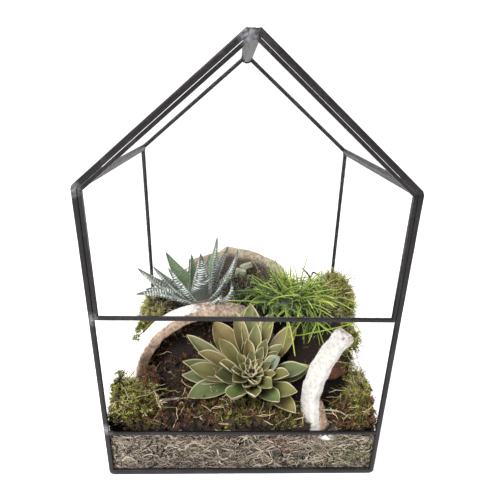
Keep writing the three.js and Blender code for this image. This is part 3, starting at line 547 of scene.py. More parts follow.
def soft_box(name, place, target, size, power):
    """A round light, size metres across and power watts strong, that stands at place and faces target."""
    data = bpy.data.lights.new(name, "AREA")
    data.shape, data.size, data.energy = "DISK", size, power
    light = bpy.data.objects.new(name, data)
    towards = unit(np.array(target, float) - np.array(place, float))
    right = unit(np.cross(towards, [0.0, 0.0, 1.0]))
    pose = Matrix(np.column_stack([right, np.cross(right, towards), -towards]).tolist()).to_4x4()
    pose.translation = place
    light.matrix_world = pose
    bpy.context.scene.collection.objects.link(light)


def pale_surroundings(strength):
    world = bpy.data.worlds.new("surroundings")
    world.use_nodes = True
    sky = world.node_tree.nodes["Background"]
    set_sockets(world.node_tree, sky, Color=(1.0, 1.0, 1.0, 1.0), Strength=strength)
    bpy.context.scene.world = world


lay_floor()
soft_box("key_light", (-0.45, -0.6, 0.95), (0, 0, 0.08), 0.7, 16)
soft_box("fill_light", (0.9, -0.5, 0.5), (0, 0, 0.1), 0.8, 2)
soft_box("back_light", (0.2, 0.9, 0.9), (0, 0, 0.15), 0.8, 3)
pale_surroundings(0.6)
bpy.context.scene.view_settings.view_transform = "Standard"
print("floor and lights are in place")

# %% [markdown]
# The case is made as leaded glass is: copper foil round each pane, a bead of
# solder over every joint, and a dark patina over the solder. A drawn bar would
# have sharp edges, but solder runs, so each bar is a squarish section with round
# corners that grows and shrinks a little along its length, and every corner has
# a blob where the seams meet. A few joints on the left and at the apex show bright
# solder colour, partly rubbed solder and partly a painted highlight. Each new
# bar takes the place of its solid, and the folded foil keeps its own.

# %% Finish of the seams
# Places of the bright solder colour: partly rubbed solder, partly painted highlights.
RUBBED_GLINT_SPOTS = ((-98.5, -89, 217.5), (-98.5, -89, 134.4), (-97.5, -89, 44), (-3, -89, 296))
SPOT_RADIUS, SPOT_STRENGTH = 0.006, 0.75


def patina_finish():
    """Nearly black by the mottle mask. Near a rubbed spot the bright solder colour, partly wear and
    partly a painted highlight, shows where the mask is high.
    """
    material, tree, bsdf = new_material("patina")
    where = place_output(tree)
    mask, fine = mottle(tree, where, 70.0, 700.0)
    dark = ramp(tree, mask, [(0, 16, 13, 14), (0.55, 27, 23, 25), (1, 48, 43, 45)])
    rubbed_glint = 0.0
    for spot in RUBBED_GLINT_SPOTS:
        away = add(tree, "ShaderNodeVectorMath", {"operation": "DISTANCE"})
        feed(tree, away.inputs[0], where)
        feed(tree, away.inputs[1], [value * MM for value in spot])
        near = map_range(tree, away.outputs["Value"], 0, SPOT_RADIUS, SPOT_STRENGTH, 0)
        rubbed_glint = maths(tree, "MAXIMUM", rubbed_glint, near)
    bright = maths(tree, "MULTIPLY", rubbed_glint, mask)
    set_sockets(
        tree, bsdf, Base_Color=blend_colours(tree, bright, dark, linear(188, 186, 192)),
        Roughness=map_range(tree, fine, 0, 1, 0.28, 0.62), Normal=bump(tree, fine, 0.25, 0.0004),
        Metallic=0.28, Specular_IOR_Level=0.34)
    return material


PATINA = patina_finish()
print("finish:", PATINA.name)

# %% Bars with round corners
HALF_WIDTH, HALF_DEPTH = 100.0, 89.0
EAVE, RIDGE = 219.0, 303.0
SEAM, BASE_SEAM, BAR_DEPTH = 3.6, 4.5, 3.0
WINDOW_TOP, WINDOW_SEAM, PANE_LIP = 134.4, 2.2, 0.9
TRAY_TOP, TRAY_SEAM = 39.9, 2.6
ROOF_SLOPE = np.arctan2(RIDGE - EAVE, HALF_WIDTH)
BAR_SIDES = 16
ROUNDED_END, FIRST_RING, RING_SPACING = 1.1, 3.2, 3.0
FULLNESS, SWELL, PITTING = 0.965, 0.03, 0.06


def solder_bar(start, end, across, half_across, half_deep, seed, trims=(0.0, 0.0)):
    """A superellipse section |y|⁴ + |z|⁴ = 1 carried from start to end. It swells by noise, and
    rounds off over its last stretch: scale = √(1 - (1 - distance/stretch)²)."""
    start, end, across = (np.array(value, float) for value in (start, end, across))
    along = unit(end - start)
    start, end = start + along * trims[0], end - along * trims[1]
    length = np.linalg.norm(end - start)
    ends = ROUNDED_END * np.array([0.02, 0.2, 0.55, 1.0])
    between = np.arange(FIRST_RING, length - RING_SPACING, RING_SPACING)
    distance = np.concatenate([ends, between, length - ends[::-1]])
    near_end = np.minimum(distance, length - distance) / ROUNDED_END
    scale = np.sqrt(1 - (1 - np.clip(near_end, 0, 1)) ** 2)
    angle = 2 * np.pi * (np.arange(BAR_SIDES) + 0.5) / BAR_SIDES
    y, z = (np.sign(turn) * np.abs(turn) ** 0.5 for turn in (np.cos(angle), np.sin(angle)))
    across = unit(across - along * (across @ along))
    deep = np.cross(along, across)
    centre = start + along * distance[:, None]
    fullness = FULLNESS + SWELL * grain(centre, 9, seed)
    offset = y[None, :, None] * across * half_across + z[None, :, None] * deep * half_deep
    rings = centre[:, None] + offset * (scale * fullness)[:, None, None]
    rings = rings - PITTING * np.abs(grain(rings, 2.2, seed + 5))[..., None] * unit(offset)
    return skin(rings[None], start[None], end[None])


def ball_ways(around, down):
    """Directions on a ball in rings from its foot up: (sin b·cos a, sin b·sin a, -cos b)."""
    a = 2 * np.pi * np.arange(around) / around
    b = (np.pi * (np.arange(1, down) / down))[:, None]
    return np.stack(np.broadcast_arrays(np.sin(b) * np.cos(a), np.sin(b) * np.sin(a), -np.cos(b)), -1)


def solder_blob(centre, size, seed, steps=(18, 12)):
    """A lump of solder: a sphere stretched to size, its surface drawn in by up to 8 % of noise."""
    ball = ball_ways(*steps)
    centre, size = np.array(centre, float), np.array(size, float)
    rings = centre + ball * size * (1 - 0.08 * np.abs(grain(ball * 8 + seed, 3, seed)))[..., None]
    low, high = centre - [0, 0, size[2]], centre + [0, 0, size[2]]
    return skin(rings[None], low[None], high[None])


def house_corners(side, bottom):
    """The corners of the house front moved inwards by side, and its floor by bottom."""
    wall = HALF_WIDTH - side
    eave = EAVE + (side * np.tan(ROOF_SLOPE) - side / np.cos(ROOF_SLOPE))
    apex = RIDGE - side / np.cos(ROOF_SLOPE)
    return {
        "left_foot": (-wall, bottom), "right_foot": (wall, bottom),
        "right_eave": (wall, eave), "apex": (0.0, apex), "left_eave": (-wall, eave),
    }


# Each edge runs between two corners, and has half its width and what is cut off at its two ends.
EDGES = {
    "bottom": ("left_foot", "right_foot", BASE_SEAM / 2, (0.4, 0.4)),
    "right_post": ("right_foot", "right_eave", SEAM / 2, (-0.6, -0.4)),
    "right_rafter": ("right_eave", "apex", SEAM / 2, (-0.4, 2.6)),
    "left_rafter": ("apex", "left_eave", SEAM / 2, (2.6, -0.4)),
    "left_post": ("left_eave", "left_foot", SEAM / 2, (-0.4, -0.6)),
}


def house_frame():
    """Five bars on the front and five on the back, each in the place of its own solid."""
    corners = house_corners(SEAM / 2, BASE_SEAM / 2)
    for face, y in (("front", -HALF_DEPTH + BAR_DEPTH / 2), ("back", HALF_DEPTH - BAR_DEPTH / 2)):
        for number, (name, (start, end, half, trims)) in enumerate(EDGES.items()):
            a, b = (np.array([corners[key][0], y, corners[key][1]]) for key in (start, end))
            inward = np.cross(b - a, [0.0, 1.0, 0.0])
            bar = solder_bar(a, b, inward, half, BAR_DEPTH / 2, 20 + number, trims)
            make_piece(f"solder_{face}_{name}", [bar], PATINA, [f"{face}_{name}"])


house_frame()

# %% Cross bars, lengthwise seams and corner blobs
BAR_GAP = 0.2
EAVE_BEAD, RIDGE_BEAD = (1.6, 1.6), (2.5, 2.2)
BEAD_IN, BEAD_UNDER_EAVE, BEAD_UNDER_RIDGE = 1.75, 1.1, 5.6
BLOB_DEPTH, BAR_BLOB_DEPTH = 1.5, 1.45
EAVE_BLOB_X, POST_BLOB_X = 97.9, 97.6
APEX_BLOB_Z, EAVE_BLOB_Z, FOOT_BLOB_Z = 296.9, EAVE - 1.6, 2.6
# Each cross bar: its node, its height, its width and how far a pane's lip widens it.
CROSS_BARS = (
    ("window_top_bar", WINDOW_TOP, WINDOW_SEAM, PANE_LIP),
    ("tray_top_bar", TRAY_TOP, TRAY_SEAM, 0.0),
)
FOILS = (
    "left_eave_seam", "right_eave_seam", "ridge_seam", "left_foil", "left_roof_foil", "right_foil",
    "right_roof_foil")


def cross_bars():
    """The bar over the window has a lip for its pane, and the bar on the tray has none."""
    reach = HALF_WIDTH - SEAM - BAR_GAP
    for node, middle, size, lip in CROSS_BARS:
        y, z = -HALF_DEPTH + size / 2, middle + lip / 2
        bar = solder_bar((-reach, y, z), (reach, y, z), (0, 0, 1), (size + lip) / 2, size / 2, 31)
        make_piece(f"solder_{node}", [bar], PATINA, [node])


def lengthwise(x, z, half_across, half_deep, seed):
    """A bar from the front to the back at x and z."""
    reach = HALF_DEPTH - BAR_DEPTH
    return solder_bar((x, -reach, z), (x, reach, z), (1, 0, 0), half_across, half_deep, seed)


def lengthwise_seams():
    """The base seams are whole bars; the eaves and the ridge keep their folded foil and get a bead."""
    for side, sign in (("left", -1), ("right", 1)):
        bar = lengthwise(sign * (HALF_WIDTH - SEAM / 2), BASE_SEAM / 2, SEAM / 2, BASE_SEAM / 2, 41)
        make_piece(f"solder_{side}_bottom_seam", [bar], PATINA, [f"{side}_bottom_seam"])
        bead = lengthwise(sign * (HALF_WIDTH - BEAD_IN), EAVE - BEAD_UNDER_EAVE, *EAVE_BEAD, 43)
        make_piece(f"solder_{side}_eave_bead", [bead], PATINA)
    bead = lengthwise(0, RIDGE - BEAD_UNDER_RIDGE, *RIDGE_BEAD, 47)
    make_piece("solder_ridge_bead", [bead], PATINA)


def corner_blobs():
    """Solder gathers where bars meet: at the feet, the eaves, the ridge and the ends of the cross bars."""
    blobs = []
    for y in (-HALF_DEPTH + BLOB_DEPTH, HALF_DEPTH - BLOB_DEPTH):
        blobs.append(solder_blob((0, y, APEX_BLOB_Z), (4.4, BLOB_DEPTH, 2.8), 51))
        for sign in (-1, 1):
            blobs.append(solder_blob((sign * EAVE_BLOB_X, y, EAVE_BLOB_Z), (2.0, BLOB_DEPTH, 3.0), 52))
            blobs.append(solder_blob((sign * POST_BLOB_X, y, FOOT_BLOB_Z), (2.3, BLOB_DEPTH, 2.6), 53))
    for z in (WINDOW_TOP, TRAY_TOP):
        for sign in (-1, 1):
            place = (sign * POST_BLOB_X, -HALF_DEPTH + BAR_BLOB_DEPTH, z)
            blobs.append(solder_blob(place, (2.2, BAR_BLOB_DEPTH, 2.3), 54))
    make_piece("solder_corner_blobs", blobs, PATINA)


def finish_node(node, material):
    """A solid that is right as it is only changes its material."""
    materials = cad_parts[node].data.materials
    materials.clear()
    materials.append(material)


cross_bars()
lengthwise_seams()
corner_blobs()
for node in FOILS:
    finish_node(node, PATINA)

# %% [markdown]
# The panes are 2 mm window glass. Their solids are right as they are, so they
# only get a finish. Real glass bends light, which darkens what stands behind it
# unless a render traces very many rays. Here the finish is a thin clear film. Its
# alpha lets nearly everything through, and what is left is a faint grey haze with
# a gloss of its own, so the planting stays bright.

# %% Clear panes
def glass_finish():
    """Alpha from 0.015 to 0.035 by fine noise, on a grey and glossy surface."""
    material, tree, bsdf = new_material("pane_glass")
    _, fine = mottle(tree, place_output(tree), 9.0, 40.0)
    set_sockets(
        tree, bsdf, Alpha=map_range(tree, fine, 0.35, 0.75, 0.015, 0.035),
        Base_Color=linear(92, 98, 98), Roughness=0.05, IOR=1.45)
    return material


GLASS = glass_finish()
panes = [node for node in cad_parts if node.endswith("_pane")]
for node in panes:
    finish_node(node, GLASS)
print("panes:", len(panes))

# %% [markdown]
# The pot pieces are thrown clay that was whitewashed on the outside, with worn
# tan rims. A curved strip of pot wall is a section carried round an arc. The
# section is given by a few corners, its edges are cut into short steps, and
# averaging each point with its neighbours a few times rounds the corners. The
# attribute wash says how white each point is, and noise breaks its edge.

# %% Clay finish
def clay_finish(name, clay_stops, whites):
    """Bare clay where the attribute wash plus 0.9 of the fine noise is low, and streaks of two whites
    where it is high. Small brown dots lie on top, and the attribute dirt paints soil stains
    and painted shade in dark brown."""
    material, tree, bsdf = new_material(name)
    where = place_output(tree)
    mask, fine = mottle(tree, where, 55.0, 420.0)
    edge = maths(tree, "MULTIPLY_ADD", fine, 0.9, attribute(tree, "wash"))
    streaks = ramp(tree, fine, [(0.25, *whites[0]), (0.6, *whites[1])])
    colour = blend_colours(
        tree, map_range(tree, edge, 0.72, 1.12, 0, 1), ramp(tree, mask, clay_stops), streaks)
    dots = maths(tree, "MULTIPLY", speckle(tree, where, 330.0, 0.22), 0.3)
    colour = blend_colours(tree, dots, colour, linear(120, 96, 78))
    # dirt mixes towards dark brown: soil stains, and painted shade on the inner faces.
    colour = blend_colours(tree, attribute(tree, "dirt"), colour, linear(58, 46, 36))
    set_sockets(tree, bsdf, Base_Color=colour, Roughness=0.88, Normal=bump(tree, fine, 0.5, 0.0008))
    return material


TAN_CLAY = [(0, 96, 76, 62), (0.35, 138, 112, 94), (0.65, 170, 146, 126), (1, 200, 180, 160)]
CLAY = clay_finish("whitewashed_clay", TAN_CLAY, ((206, 200, 192), (236, 234, 230)))
SIDE_CLAY = clay_finish("side_clay", TAN_CLAY, ((168, 164, 158), (206, 203, 198)))
print("finishes:", CLAY.name, SIDE_CLAY.name)

# %% Broken pot pieces
def rounded_section(corners, steps, rounds):
    """Corner points[station, corner, 2] to a closed outline of short steps with softened corners."""
    following = np.roll(corners, -1, axis=1)
    length = np.linalg.norm(following - corners, axis=-1).mean(0)
    counts = np.maximum(2, np.round(steps * length / length.sum()).astype(int))
    pieces = []
    for k, count in enumerate(counts):
        t = (np.arange(count) / count)[None, :, None]
        pieces.append(corners[:, k, None] * (1 - t) + following[:, k, None] * t)
    outline = np.concatenate(pieces, axis=1)
    for _ in range(rounds):
        outline = (np.roll(outline, 1, axis=1) + outline * 2 + np.roll(outline, -1, axis=1)) / 4
    return outline


def model_ripple(x, y, z, seed):
    """The same uneven field as in the model: two octaves of crossed sines, from -1 to 1."""
    coarse = np.sin(x * 0.17 + seed * 1.7 + z * 0.06) * np.sin(y * 0.19 + seed * 2.3 + z * 0.09)
    fine = np.sin(x * 0.41 + z * 0.33 + seed) * np.sin(y * 0.38 - z * 0.29 + seed * 0.7)
    return (coarse + 0.6 * fine) / 1.6


# The level that the pots stand on, and how near to the front pane any clay may come.
BED, FOREMOST_CLAY = 38.3, -85.2
# foot thickens a strip low down, and splay spreads it there, with advance times as much forwards.
CAVE = dict(
    centre=(-28, -32, 48), radius=60, turn=13, lean=0, thickness=8, length=17, flare=5,
    foot=0, splay=0, advance=0, start=0, stop=180, seed=3)
SIDE = dict(
    centre=(93.9, -47.4, 60.5), radius=54.6, turn=36.3, lean=6.2, thickness=8, length=13, flare=0,
    foot=9, splay=8, advance=1.25, start=-48, stop=63, seed=8)
FOOT_ANGLES, SPLAY_ANGLES = (-36, 24), (-28, 4)
FOOT_SHARES = np.array([1, 0.75, 0.5, 0.25])
ARCH_STEPS, ARCH_BEVEL = 150, 1.2


def arch_axes(arch):
    """Backwards, sideways and up for a strip that is turned about the vertical and leans."""
    turn, lean = np.radians(arch["turn"]), np.radians(arch["lean"])
    deep = np.array([-np.sin(turn) * np.cos(lean), np.cos(turn) * np.cos(lean), np.sin(lean)])
    across = np.array([np.cos(turn), np.sin(turn), 0.0])
    return deep, across, np.cross(across, deep)


def arch_wall(arch, wash, dirt, feet):
    """A strip of pot wall along a circle on edge: place = centre + (radius + outward + splay)·radial +
    (back - advance·splay)·deep. With feet, both its ends go straight down to the bed."""
    deep, across, up = arch_axes(arch)
    angle = np.radians(np.linspace(arch["start"], arch["stop"], ARCH_STEPS))
    drop = np.zeros(ARCH_STEPS)
    if feet:
        fall = (arch["centre"][2] - BED) * FOOT_SHARES
        angle = np.concatenate([[angle[0]] * len(fall), angle, [angle[-1]] * len(fall)])
        drop = np.concatenate([fall, drop, fall[::-1]])
    degrees, length = np.degrees(angle), arch["length"]
    wear = 0.8 * model_ripple(angle * 52, arch["seed"] * 9, 0, arch["seed"])
    flare = arch["flare"] * (1 - np.abs(np.sin(angle)) ** 3)
    thick = arch["thickness"] + arch["foot"] * (1 - smooth(*FOOT_ANGLES, degrees))
    splay = arch["splay"] * (1 - smooth(*SPLAY_ANGLES, degrees))
    corners = np.stack([np.stack([out + 0 * wear, back + 0 * wear], -1) for out, back in (
        (-thick, wear), (-ARCH_BEVEL, wear), (0, ARCH_BEVEL + wear), (flare, length - wear),
        (flare - thick, length - wear))], axis=1)
    section = rounded_section(corners, 56, 3)
    out, back = section[..., 0], section[..., 1]
    radial = -np.cos(angle)[:, None] * across + np.sin(angle)[:, None] * up
    reach = arch["radius"] + out + splay[:, None]
    place = np.array(arch["centre"], float) + radial[:, None] * reach[..., None]
    place = place + deep * (back - arch["advance"] * splay[:, None])[..., None]
    place[..., 2] -= drop[:, None]
    place[..., 1] = np.maximum(place[..., 1], FOREMOST_CLAY)
    inwards = unit(place.mean(1, keepdims=True) - place)
    shares = out / thick[:, None] * 2 + 1, back / length * 2 - 1
    corner = smooth(0.8, 1.25, np.hypot(*shares))
    chip = smooth(0.1, 0.75, cloudy(place, 5.5, arch["seed"])) * corner
    push = 0.45 * cloudy(place, 9, 5) + 0.25 * grain(place, 1.8, 6) + 1.3 * chip
    place = place + inwards * push[..., None]
    white = wash(degrees[:, None], *shares) - 0.5 * chip
    # Soil stains and painted shade, broken up by noise.
    grime_and_shade = dirt(degrees[:, None], *shares) * smooth(-0.6, 0.6, cloudy(place, 7, 22))
    return skin(place[None], place[:1].mean(1), place[-1:].mean(1), wash=white[None], dirt=grime_and_shade[None])


def cave_wash(angle, out, back):
    """White outside on the left flank and low on the right; the rim and the crown are worn to clay."""
    outside = smooth(0.1, 0.8, out) * smooth(-1.0, -0.4, back)
    flank = 1 - smooth(66, 88, angle) * (1 - smooth(140, 165, angle))
    return outside * (0.2 + 0.8 * flank) + 0.1


def cave_dirt(angle, out, back):
    """Painted shade and soil stains on the inner face under the arch; the rim is darker low on the left."""
    inner = 1 - smooth(-0.95, -0.5, out)
    low = 1 - smooth(18, 66, angle)
    rim = 1 - smooth(-0.9, -0.5, back)
    return np.clip(0.85 * inner + 0.75 * low * rim * (1 - smooth(0.2, 0.9, out)), 0, 1)


def side_wash(angle, out, back):
    """White outside and on its near edge. The broken inner edge is clay from the middle down."""
    border = mix(0.15, -1.25, smooth(-16, 17, angle))
    inner = 1 - smooth(border - 0.12, border + 0.12, out)
    return 1.0 - 0.95 * inner - 0.5 * smooth(50, 62, angle)


def side_dirt(angle, out, back):
    """A little soil and painted shade on the inner face, more towards its back."""
    return (0.12 + 0.3 * smooth(-0.2, 0.6, back)) * (1 - smooth(-0.98, -0.8, out))


cave_wall = arch_wall(CAVE, cave_wash, cave_dirt, True)
side_wall = arch_wall(SIDE, side_wash, side_dirt, False)
make_piece("cave_pot_piece", [cave_wall], CLAY, ["cave_piece"])
make_piece("side_pot_piece", [side_wall], SIDE_CLAY, ["side_piece"])

# %% Back wall of the upright pot
POT = dict(axis=(0.0, 20.0, 0.0), radius=54, wall=5.5, collar=13, step=2.6, step_rise=1.5, taper=0.2)
# How much of the rim is broken off at each of these bearings.
RING_BEARINGS = [30, 34, 40, 52, 64, 76, 88, 100, 108, 117, 121, 134, 146, 158, 166, 171]
BROKEN = [34, 12, 2] + [0] * 11 + [9, 30]
# The bearing and the height at which the rim's two slopes meet, and its nearly level stretch starts.
RIM_PEAK, RIM_LEVEL = (108, 125.5), (118, 120.3)


def pot_rim(bearing):
    """Rim height: two straight slopes that meet behind the zebra plant, and a chipped level stretch."""
    (peak, highest), (level, height) = RIM_PEAK, RIM_LEVEL
    slopes = np.where(bearing < peak, highest - 0.22 * (peak - bearing), highest - 0.5 * (bearing - peak))
    return np.where(bearing > level, height + 0.05 * (bearing - level), slopes)


def pot_back_wall():
    """The wall section carried round the pot's axis: radius + outward, less the taper below the rim."""
    bearing = np.linspace(RING_BEARINGS[0], RING_BEARINGS[-1], 126)
    broken = np.interp(bearing, RING_BEARINGS, BROKEN)
    rim = pot_rim(bearing) + 0.9 * model_ripple(bearing, 4, 0, 2) - broken
    shoulder = rim - POT["collar"]
    wall, step = POT["wall"], POT["step"]
    corners = np.stack([np.stack([out + 0 * rim, z + 0 * rim], -1) for out, z in (
        (-wall, rim), (0, rim), (0, shoulder), (-step, shoulder - POT["step_rise"]), (-step, BED),
        (-wall, BED))], axis=1)
    section = rounded_section(corners, 72, 2)
    out, z = section[..., 0], section[..., 1]
    way = np.stack([np.cos(np.radians(bearing)), np.sin(np.radians(bearing)), 0 * bearing], -1)
    reach = POT["radius"] + out - (rim[:, None] - z) * POT["taper"]
    place = np.array(POT["axis"]) + way[:, None] * reach[..., None]
    place[..., 2] = z
    top = smooth(-6, -0.5, z - rim[:, None])
    chip = smooth(0.15, 0.8, cloudy(place, 6, 12)) * top
    push = 0.35 * cloudy(place, 8, 7) + 0.2 * grain(place, 1.7, 9)
    place = place + way[:, None] * push[..., None]
    place[..., 2] -= 2.2 * chip + 0.7 * np.abs(grain(place, 3.2, 15)) * top
    wash = 0.42 + 0.2 * cloudy(place, 14, 19)
    below = rim[:, None] - z + 2.5 * cloudy(place, 8, 23)
    # Painted shade and dirt on the inner face, full from about 11 mm below the rim downwards.
    dirt = 0.92 * smooth(6, 11, below) * (out < -1)
    return skin(place[None], place[:1].mean(1), place[-1:].mean(1), wash=wash[None], dirt=dirt[None])


GREY_TAN = [(0, 104, 84, 66), (0.35, 146, 124, 98), (0.65, 172, 152, 124), (1, 186, 136, 100)]
BACK_CLAY = clay_finish("pot_back_clay", GREY_TAN, ((172, 164, 146), (196, 190, 174)))
make_piece("pot_back_wall", [pot_back_wall()], BACK_CLAY, ["pot_back"])

# %% Red sherd, white chip and pale stones
ROUGHNESS = 0.1


def stone_lump(centre, size, seed, floor):
    """A stretched sphere with a noisy surface, kept above the level that it rests on."""
    points, quads, triangles, _ = solder_blob(centre, size, seed, (40, 24))
    push = ROUGHNESS * min(size) * cloudy(points, max(size), seed)
    points = points + unit(points - np.array(centre, float)) * push[:, None]
    points[:, 2] = np.maximum(points[:, 2], floor)
    return points, quads, triangles, {"wash": np.ones(len(points)), "dirt": np.zeros(len(points))}


def slab(centre, half, turn, seed):
    """A flat broken stone: a superellipsoid |x|⁸ + |y|⁸ + |z|⁸ = 1 stretched to its half sizes, turned
    about the depth axis and roughened by noise."""
    way = ball_ways(36, 22)
    ball = way / (np.abs(way) ** 8).sum(-1, keepdims=True) ** 0.125
    ball = ball * (1 - 0.09 * (grain(way * 4, 3, seed) + 1))[..., None]
    poles = np.array([[0, 0, -0.85], [0, 0, 0.85]])
    tilt = np.radians(turn)
    spin = np.array([[np.cos(tilt), 0, -np.sin(tilt)], [0, 1, 0], [np.sin(tilt), 0, np.cos(tilt)]])
    rings, poles = (np.array(centre, float) + (shape * half) @ spin for shape in (ball, poles))
    return skin(rings[None], poles[:1], poles[1:])


def stone_finish():
    material, tree, bsdf = new_material("pale_stone")
    mask, fine = mottle(tree, place_output(tree), 120.0, 600.0)
    colour = ramp(tree, mask, [(0, 122, 124, 100), (0.5, 158, 160, 134), (1, 186, 188, 170)])
    set_sockets(tree, bsdf, Base_Color=colour, Roughness=0.75, Normal=bump(tree, fine, 0.3, 0.0005))
    return material


RED_STOPS = [(0, 70, 38, 28), (0.4, 104, 60, 43), (0.7, 122, 74, 54), (1, 140, 94, 72)]
RED_CLAY = clay_finish("red_clay", RED_STOPS, ((126, 80, 60), (138, 92, 72)))
STONE = stone_finish()
sherd = ground("clay_sherd", 1.1, 0.6, 4, 31)
sherd[3]["wash"] = np.zeros(len(sherd[0]))
sherd[3]["dirt"] = 0.7 * smooth(-0.3, 0.5, cloudy(sherd[0], 6, 32))
make_piece("red_sherd", [sherd], RED_CLAY, ["clay_sherd"])
chip = stone_lump((62, -84.2, 33.2), (8.0, 2.1, 4.2), 23, 29)
make_piece("white_chip", [chip], CLAY, ["pot_chip"])
STONE_SLABS = (
    ("stone_upper", (3, 57, 108.6), (6.8, 3.0, 3.1), -22, 21),
    ("stone_lower", (-3, 49, 104.2), (5.6, 3.0, 4.4), 14, 22),
)
for node, centre, half, turn, seed in STONE_SLABS:
    make_piece(f"{node}_slab", [slab(centre, np.array(half), turn, seed)], STONE, [node])

# %% [markdown]
# The planting stands in a glass tray filled with dry moss, and behind the pots a
# mound of dark potting soil rises to the back. Both start from their solids: the
# faces are cut finer and pushed in and out by noise. Soil looks like soil only
# when crumbs of several sizes lie on it, so little rough stones of earth are
# scattered over it, each with a few faces.

# %% Room inside the panes
CLEARANCE = 0.15
ROOM_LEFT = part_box("left_pane")[1][0] / MM + CLEARANCE
ROOM_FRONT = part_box("tray_pane")[1][1] / MM + CLEARANCE
ROOM_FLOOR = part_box("floor_pane")[1][2] / MM + CLEARANCE
print("room inside the panes:", round(ROOM_LEFT, 2), round(ROOM_FRONT, 2), round(ROOM_FLOOR, 2))


def inside_glass(parts):
    """Presses whatever would poke through a pane flat against it."""
    for points, *_ in parts:
        points[:, 0] = np.clip(points[:, 0], ROOM_LEFT, -ROOM_LEFT)
        points[:, 1] = np.clip(points[:, 1], ROOM_FRONT, -ROOM_FRONT)
        points[:, 2] = np.maximum(points[:, 2], ROOM_FLOOR)
    return parts


# %% Soil finish
def soil_finish():
    """Colour from half the mottle mask plus the attribute hue. The attribute rise paints shade in the
    hollows.
    """
    material, tree, bsdf = new_material("potting_soil")
    mask, fine = mottle(tree, place_output(tree), 60.0, 500.0)
    colour = ramp(tree, maths(tree, "MULTIPLY_ADD", mask, 0.5, attribute(tree, "hue")), [
        (0, 22, 16, 12), (0.35, 40, 29, 22), (0.6, 66, 46, 32), (0.85, 112, 70, 46), (1, 170, 144, 110)])
    # Painted shade: hollows, where rise is low, are darkened to 0.45 of the colour.
    colour = shaded(tree, colour, map_range(tree, attribute(tree, "rise"), -0.5, 0.35, 0.45, 1.0))
    set_sockets(tree, bsdf, Base_Color=colour, Roughness=0.92, Normal=bump(tree, fine, 0.6, 0.0012))
    return material


SOIL = soil_finish()
print("finish:", SOIL.name)


# %% Soil with crumbs and roots
def crumbs(points, sizes, rng):
    """Rough lumps with two rings of five points and two poles, each ring point moved at random."""
    count = len(points)
    turn = 2 * np.pi * (np.arange(5) + 0.5 * np.arange(2)[:, None]) / 5
    ring = np.stack([np.cos(turn), np.sin(turn), np.array([[-0.5], [0.5]]) + 0 * turn], -1)
    ring = ring * rng.uniform(0.65, 1.15, (count, 2, 5, 1))
    stretch = rng.uniform(0.6, 1.15, (count, 3))
    rings = points[:, None, None] + ring * (sizes[:, None] * stretch)[:, None, None]
    pole = np.array([0, 0, 0.9]) * (sizes[:, None] * stretch)
    hue = rng.beta(1.6, 2.6, count)
    return skin(rings, points - pole, points + pole, hue=hue, rise=rng.uniform(-0.1, 0.4, count))


def roots(starts, ways, lengths, radius, rng, **values):
    """Thin bent strands: start + way·length·t + a random bend·t² + a wiggle."""
    t = np.linspace(0, 1, 7)[None, :, None]
    bend = unit(rng.normal(size=(len(starts), 1, 3))) * lengths[:, None, None] * 0.4
    wiggle = rng.normal(size=(len(starts), 7, 3)) * 0.035 * lengths[:, None, None]
    routes = starts[:, None] + ways[:, None] * lengths[:, None, None] * t + bend * t**2 + wiggle
    return tubes(routes, radius * (1 - 0.55 * t[..., 0]), 3, **values)


def soil_and_crumbs():
    """The mound, with crumbs mostly where it looks up or forwards and roots where it looks forwards."""
    rng = np.random.default_rng(71)
    body = ground("soil_mound", 4.7, 1.6, 7, 61, 0.5)
    make_piece("soil_body", inside_glass([body]), SOIL, ["soil_mound"])
    open_side = lambda at, way: 0.4 + np.clip(way[:, 2] - 0.5 * way[:, 1], 0, 1)
    places, _ = scatter("soil_mound", 1700, rng, open_side)
    sizes = 0.55 + 1.5 * rng.beta(1.2, 4.5, len(places))
    make_piece("soil_crumbs", inside_glass([crumbs(places, sizes, rng)]), SOIL, flat=True)
    places, ways = scatter("soil_mound", 260, rng, lambda at, way: 0.12 + np.clip(0.2 - way[:, 1], 0, 1))
    count = len(places)
    lengths = rng.uniform(5, 16, count)
    towards = unit(ways + rng.normal(size=ways.shape) * 0.7 + [0, -0.3, -0.2])
    hue = np.where(rng.random(count) < 0.5, rng.uniform(0.75, 1.0, count), rng.uniform(0.3, 0.5, count))
    strands = roots(places - ways * 0.6, towards, lengths, 0.3, rng, hue=hue, rise=np.full(count, 0.4))
    make_piece("soil_roots", inside_glass([strands]), SOIL)


soil_and_crumbs()

# %% [markdown]
# The tray is packed with dry moss and grass litter, which shows through the glass
# as tangled fibres, tan on the left and greener in the middle. The fill keeps its
# solid's shape, drawn out to the panes and let down to the floor pane, and thousands
# of short bent strands lie along its four sides. Each strand has one hue.

# %% Dry litter finish
LITTER_STOPS = [
    (0, 62, 53, 45), (0.18, 102, 88, 76), (0.38, 142, 127, 110), (0.55, 174, 158, 138),
    (0.7, 206, 192, 172), (0.82, 114, 112, 66), (0.92, 80, 88, 44), (1, 172, 122, 98),
]


def litter_finish():
    """Colour along the attribute hue, varied a little by the mottle mask."""
    material, tree, bsdf = new_material("dry_litter")
    mask, fine = mottle(tree, place_output(tree), 90.0, 800.0)
    colour = ramp(tree, attribute(tree, "hue"), LITTER_STOPS)
    colour = shaded(tree, colour, map_range(tree, mask, 0, 1, 0.72, 1.12))
    set_sockets(tree, bsdf, Base_Color=colour, Roughness=0.85, Normal=bump(tree, fine, 0.3, 0.0005))
    return material


LITTER = litter_finish()
print("finish:", LITTER.name)

# %% Tray fill and its litter
TRAY_LOW, TRAY_HIGH = 3.7, 38.0
SIDE_REACH, END_REACH = 96.6, 85.6
SIDE_MARGIN, END_MARGIN = 0.9, 0.6
BODY_STRETCH = (1.008, 1.002)
BODY_DROP, DROP_HEIGHTS = 2.4, (4.5, 10)
ROSY_PATCH = (30.0, 24.0)
STRAND_COUNTS = {"front": 2000, "back": 560, "left": 560, "right": 560}


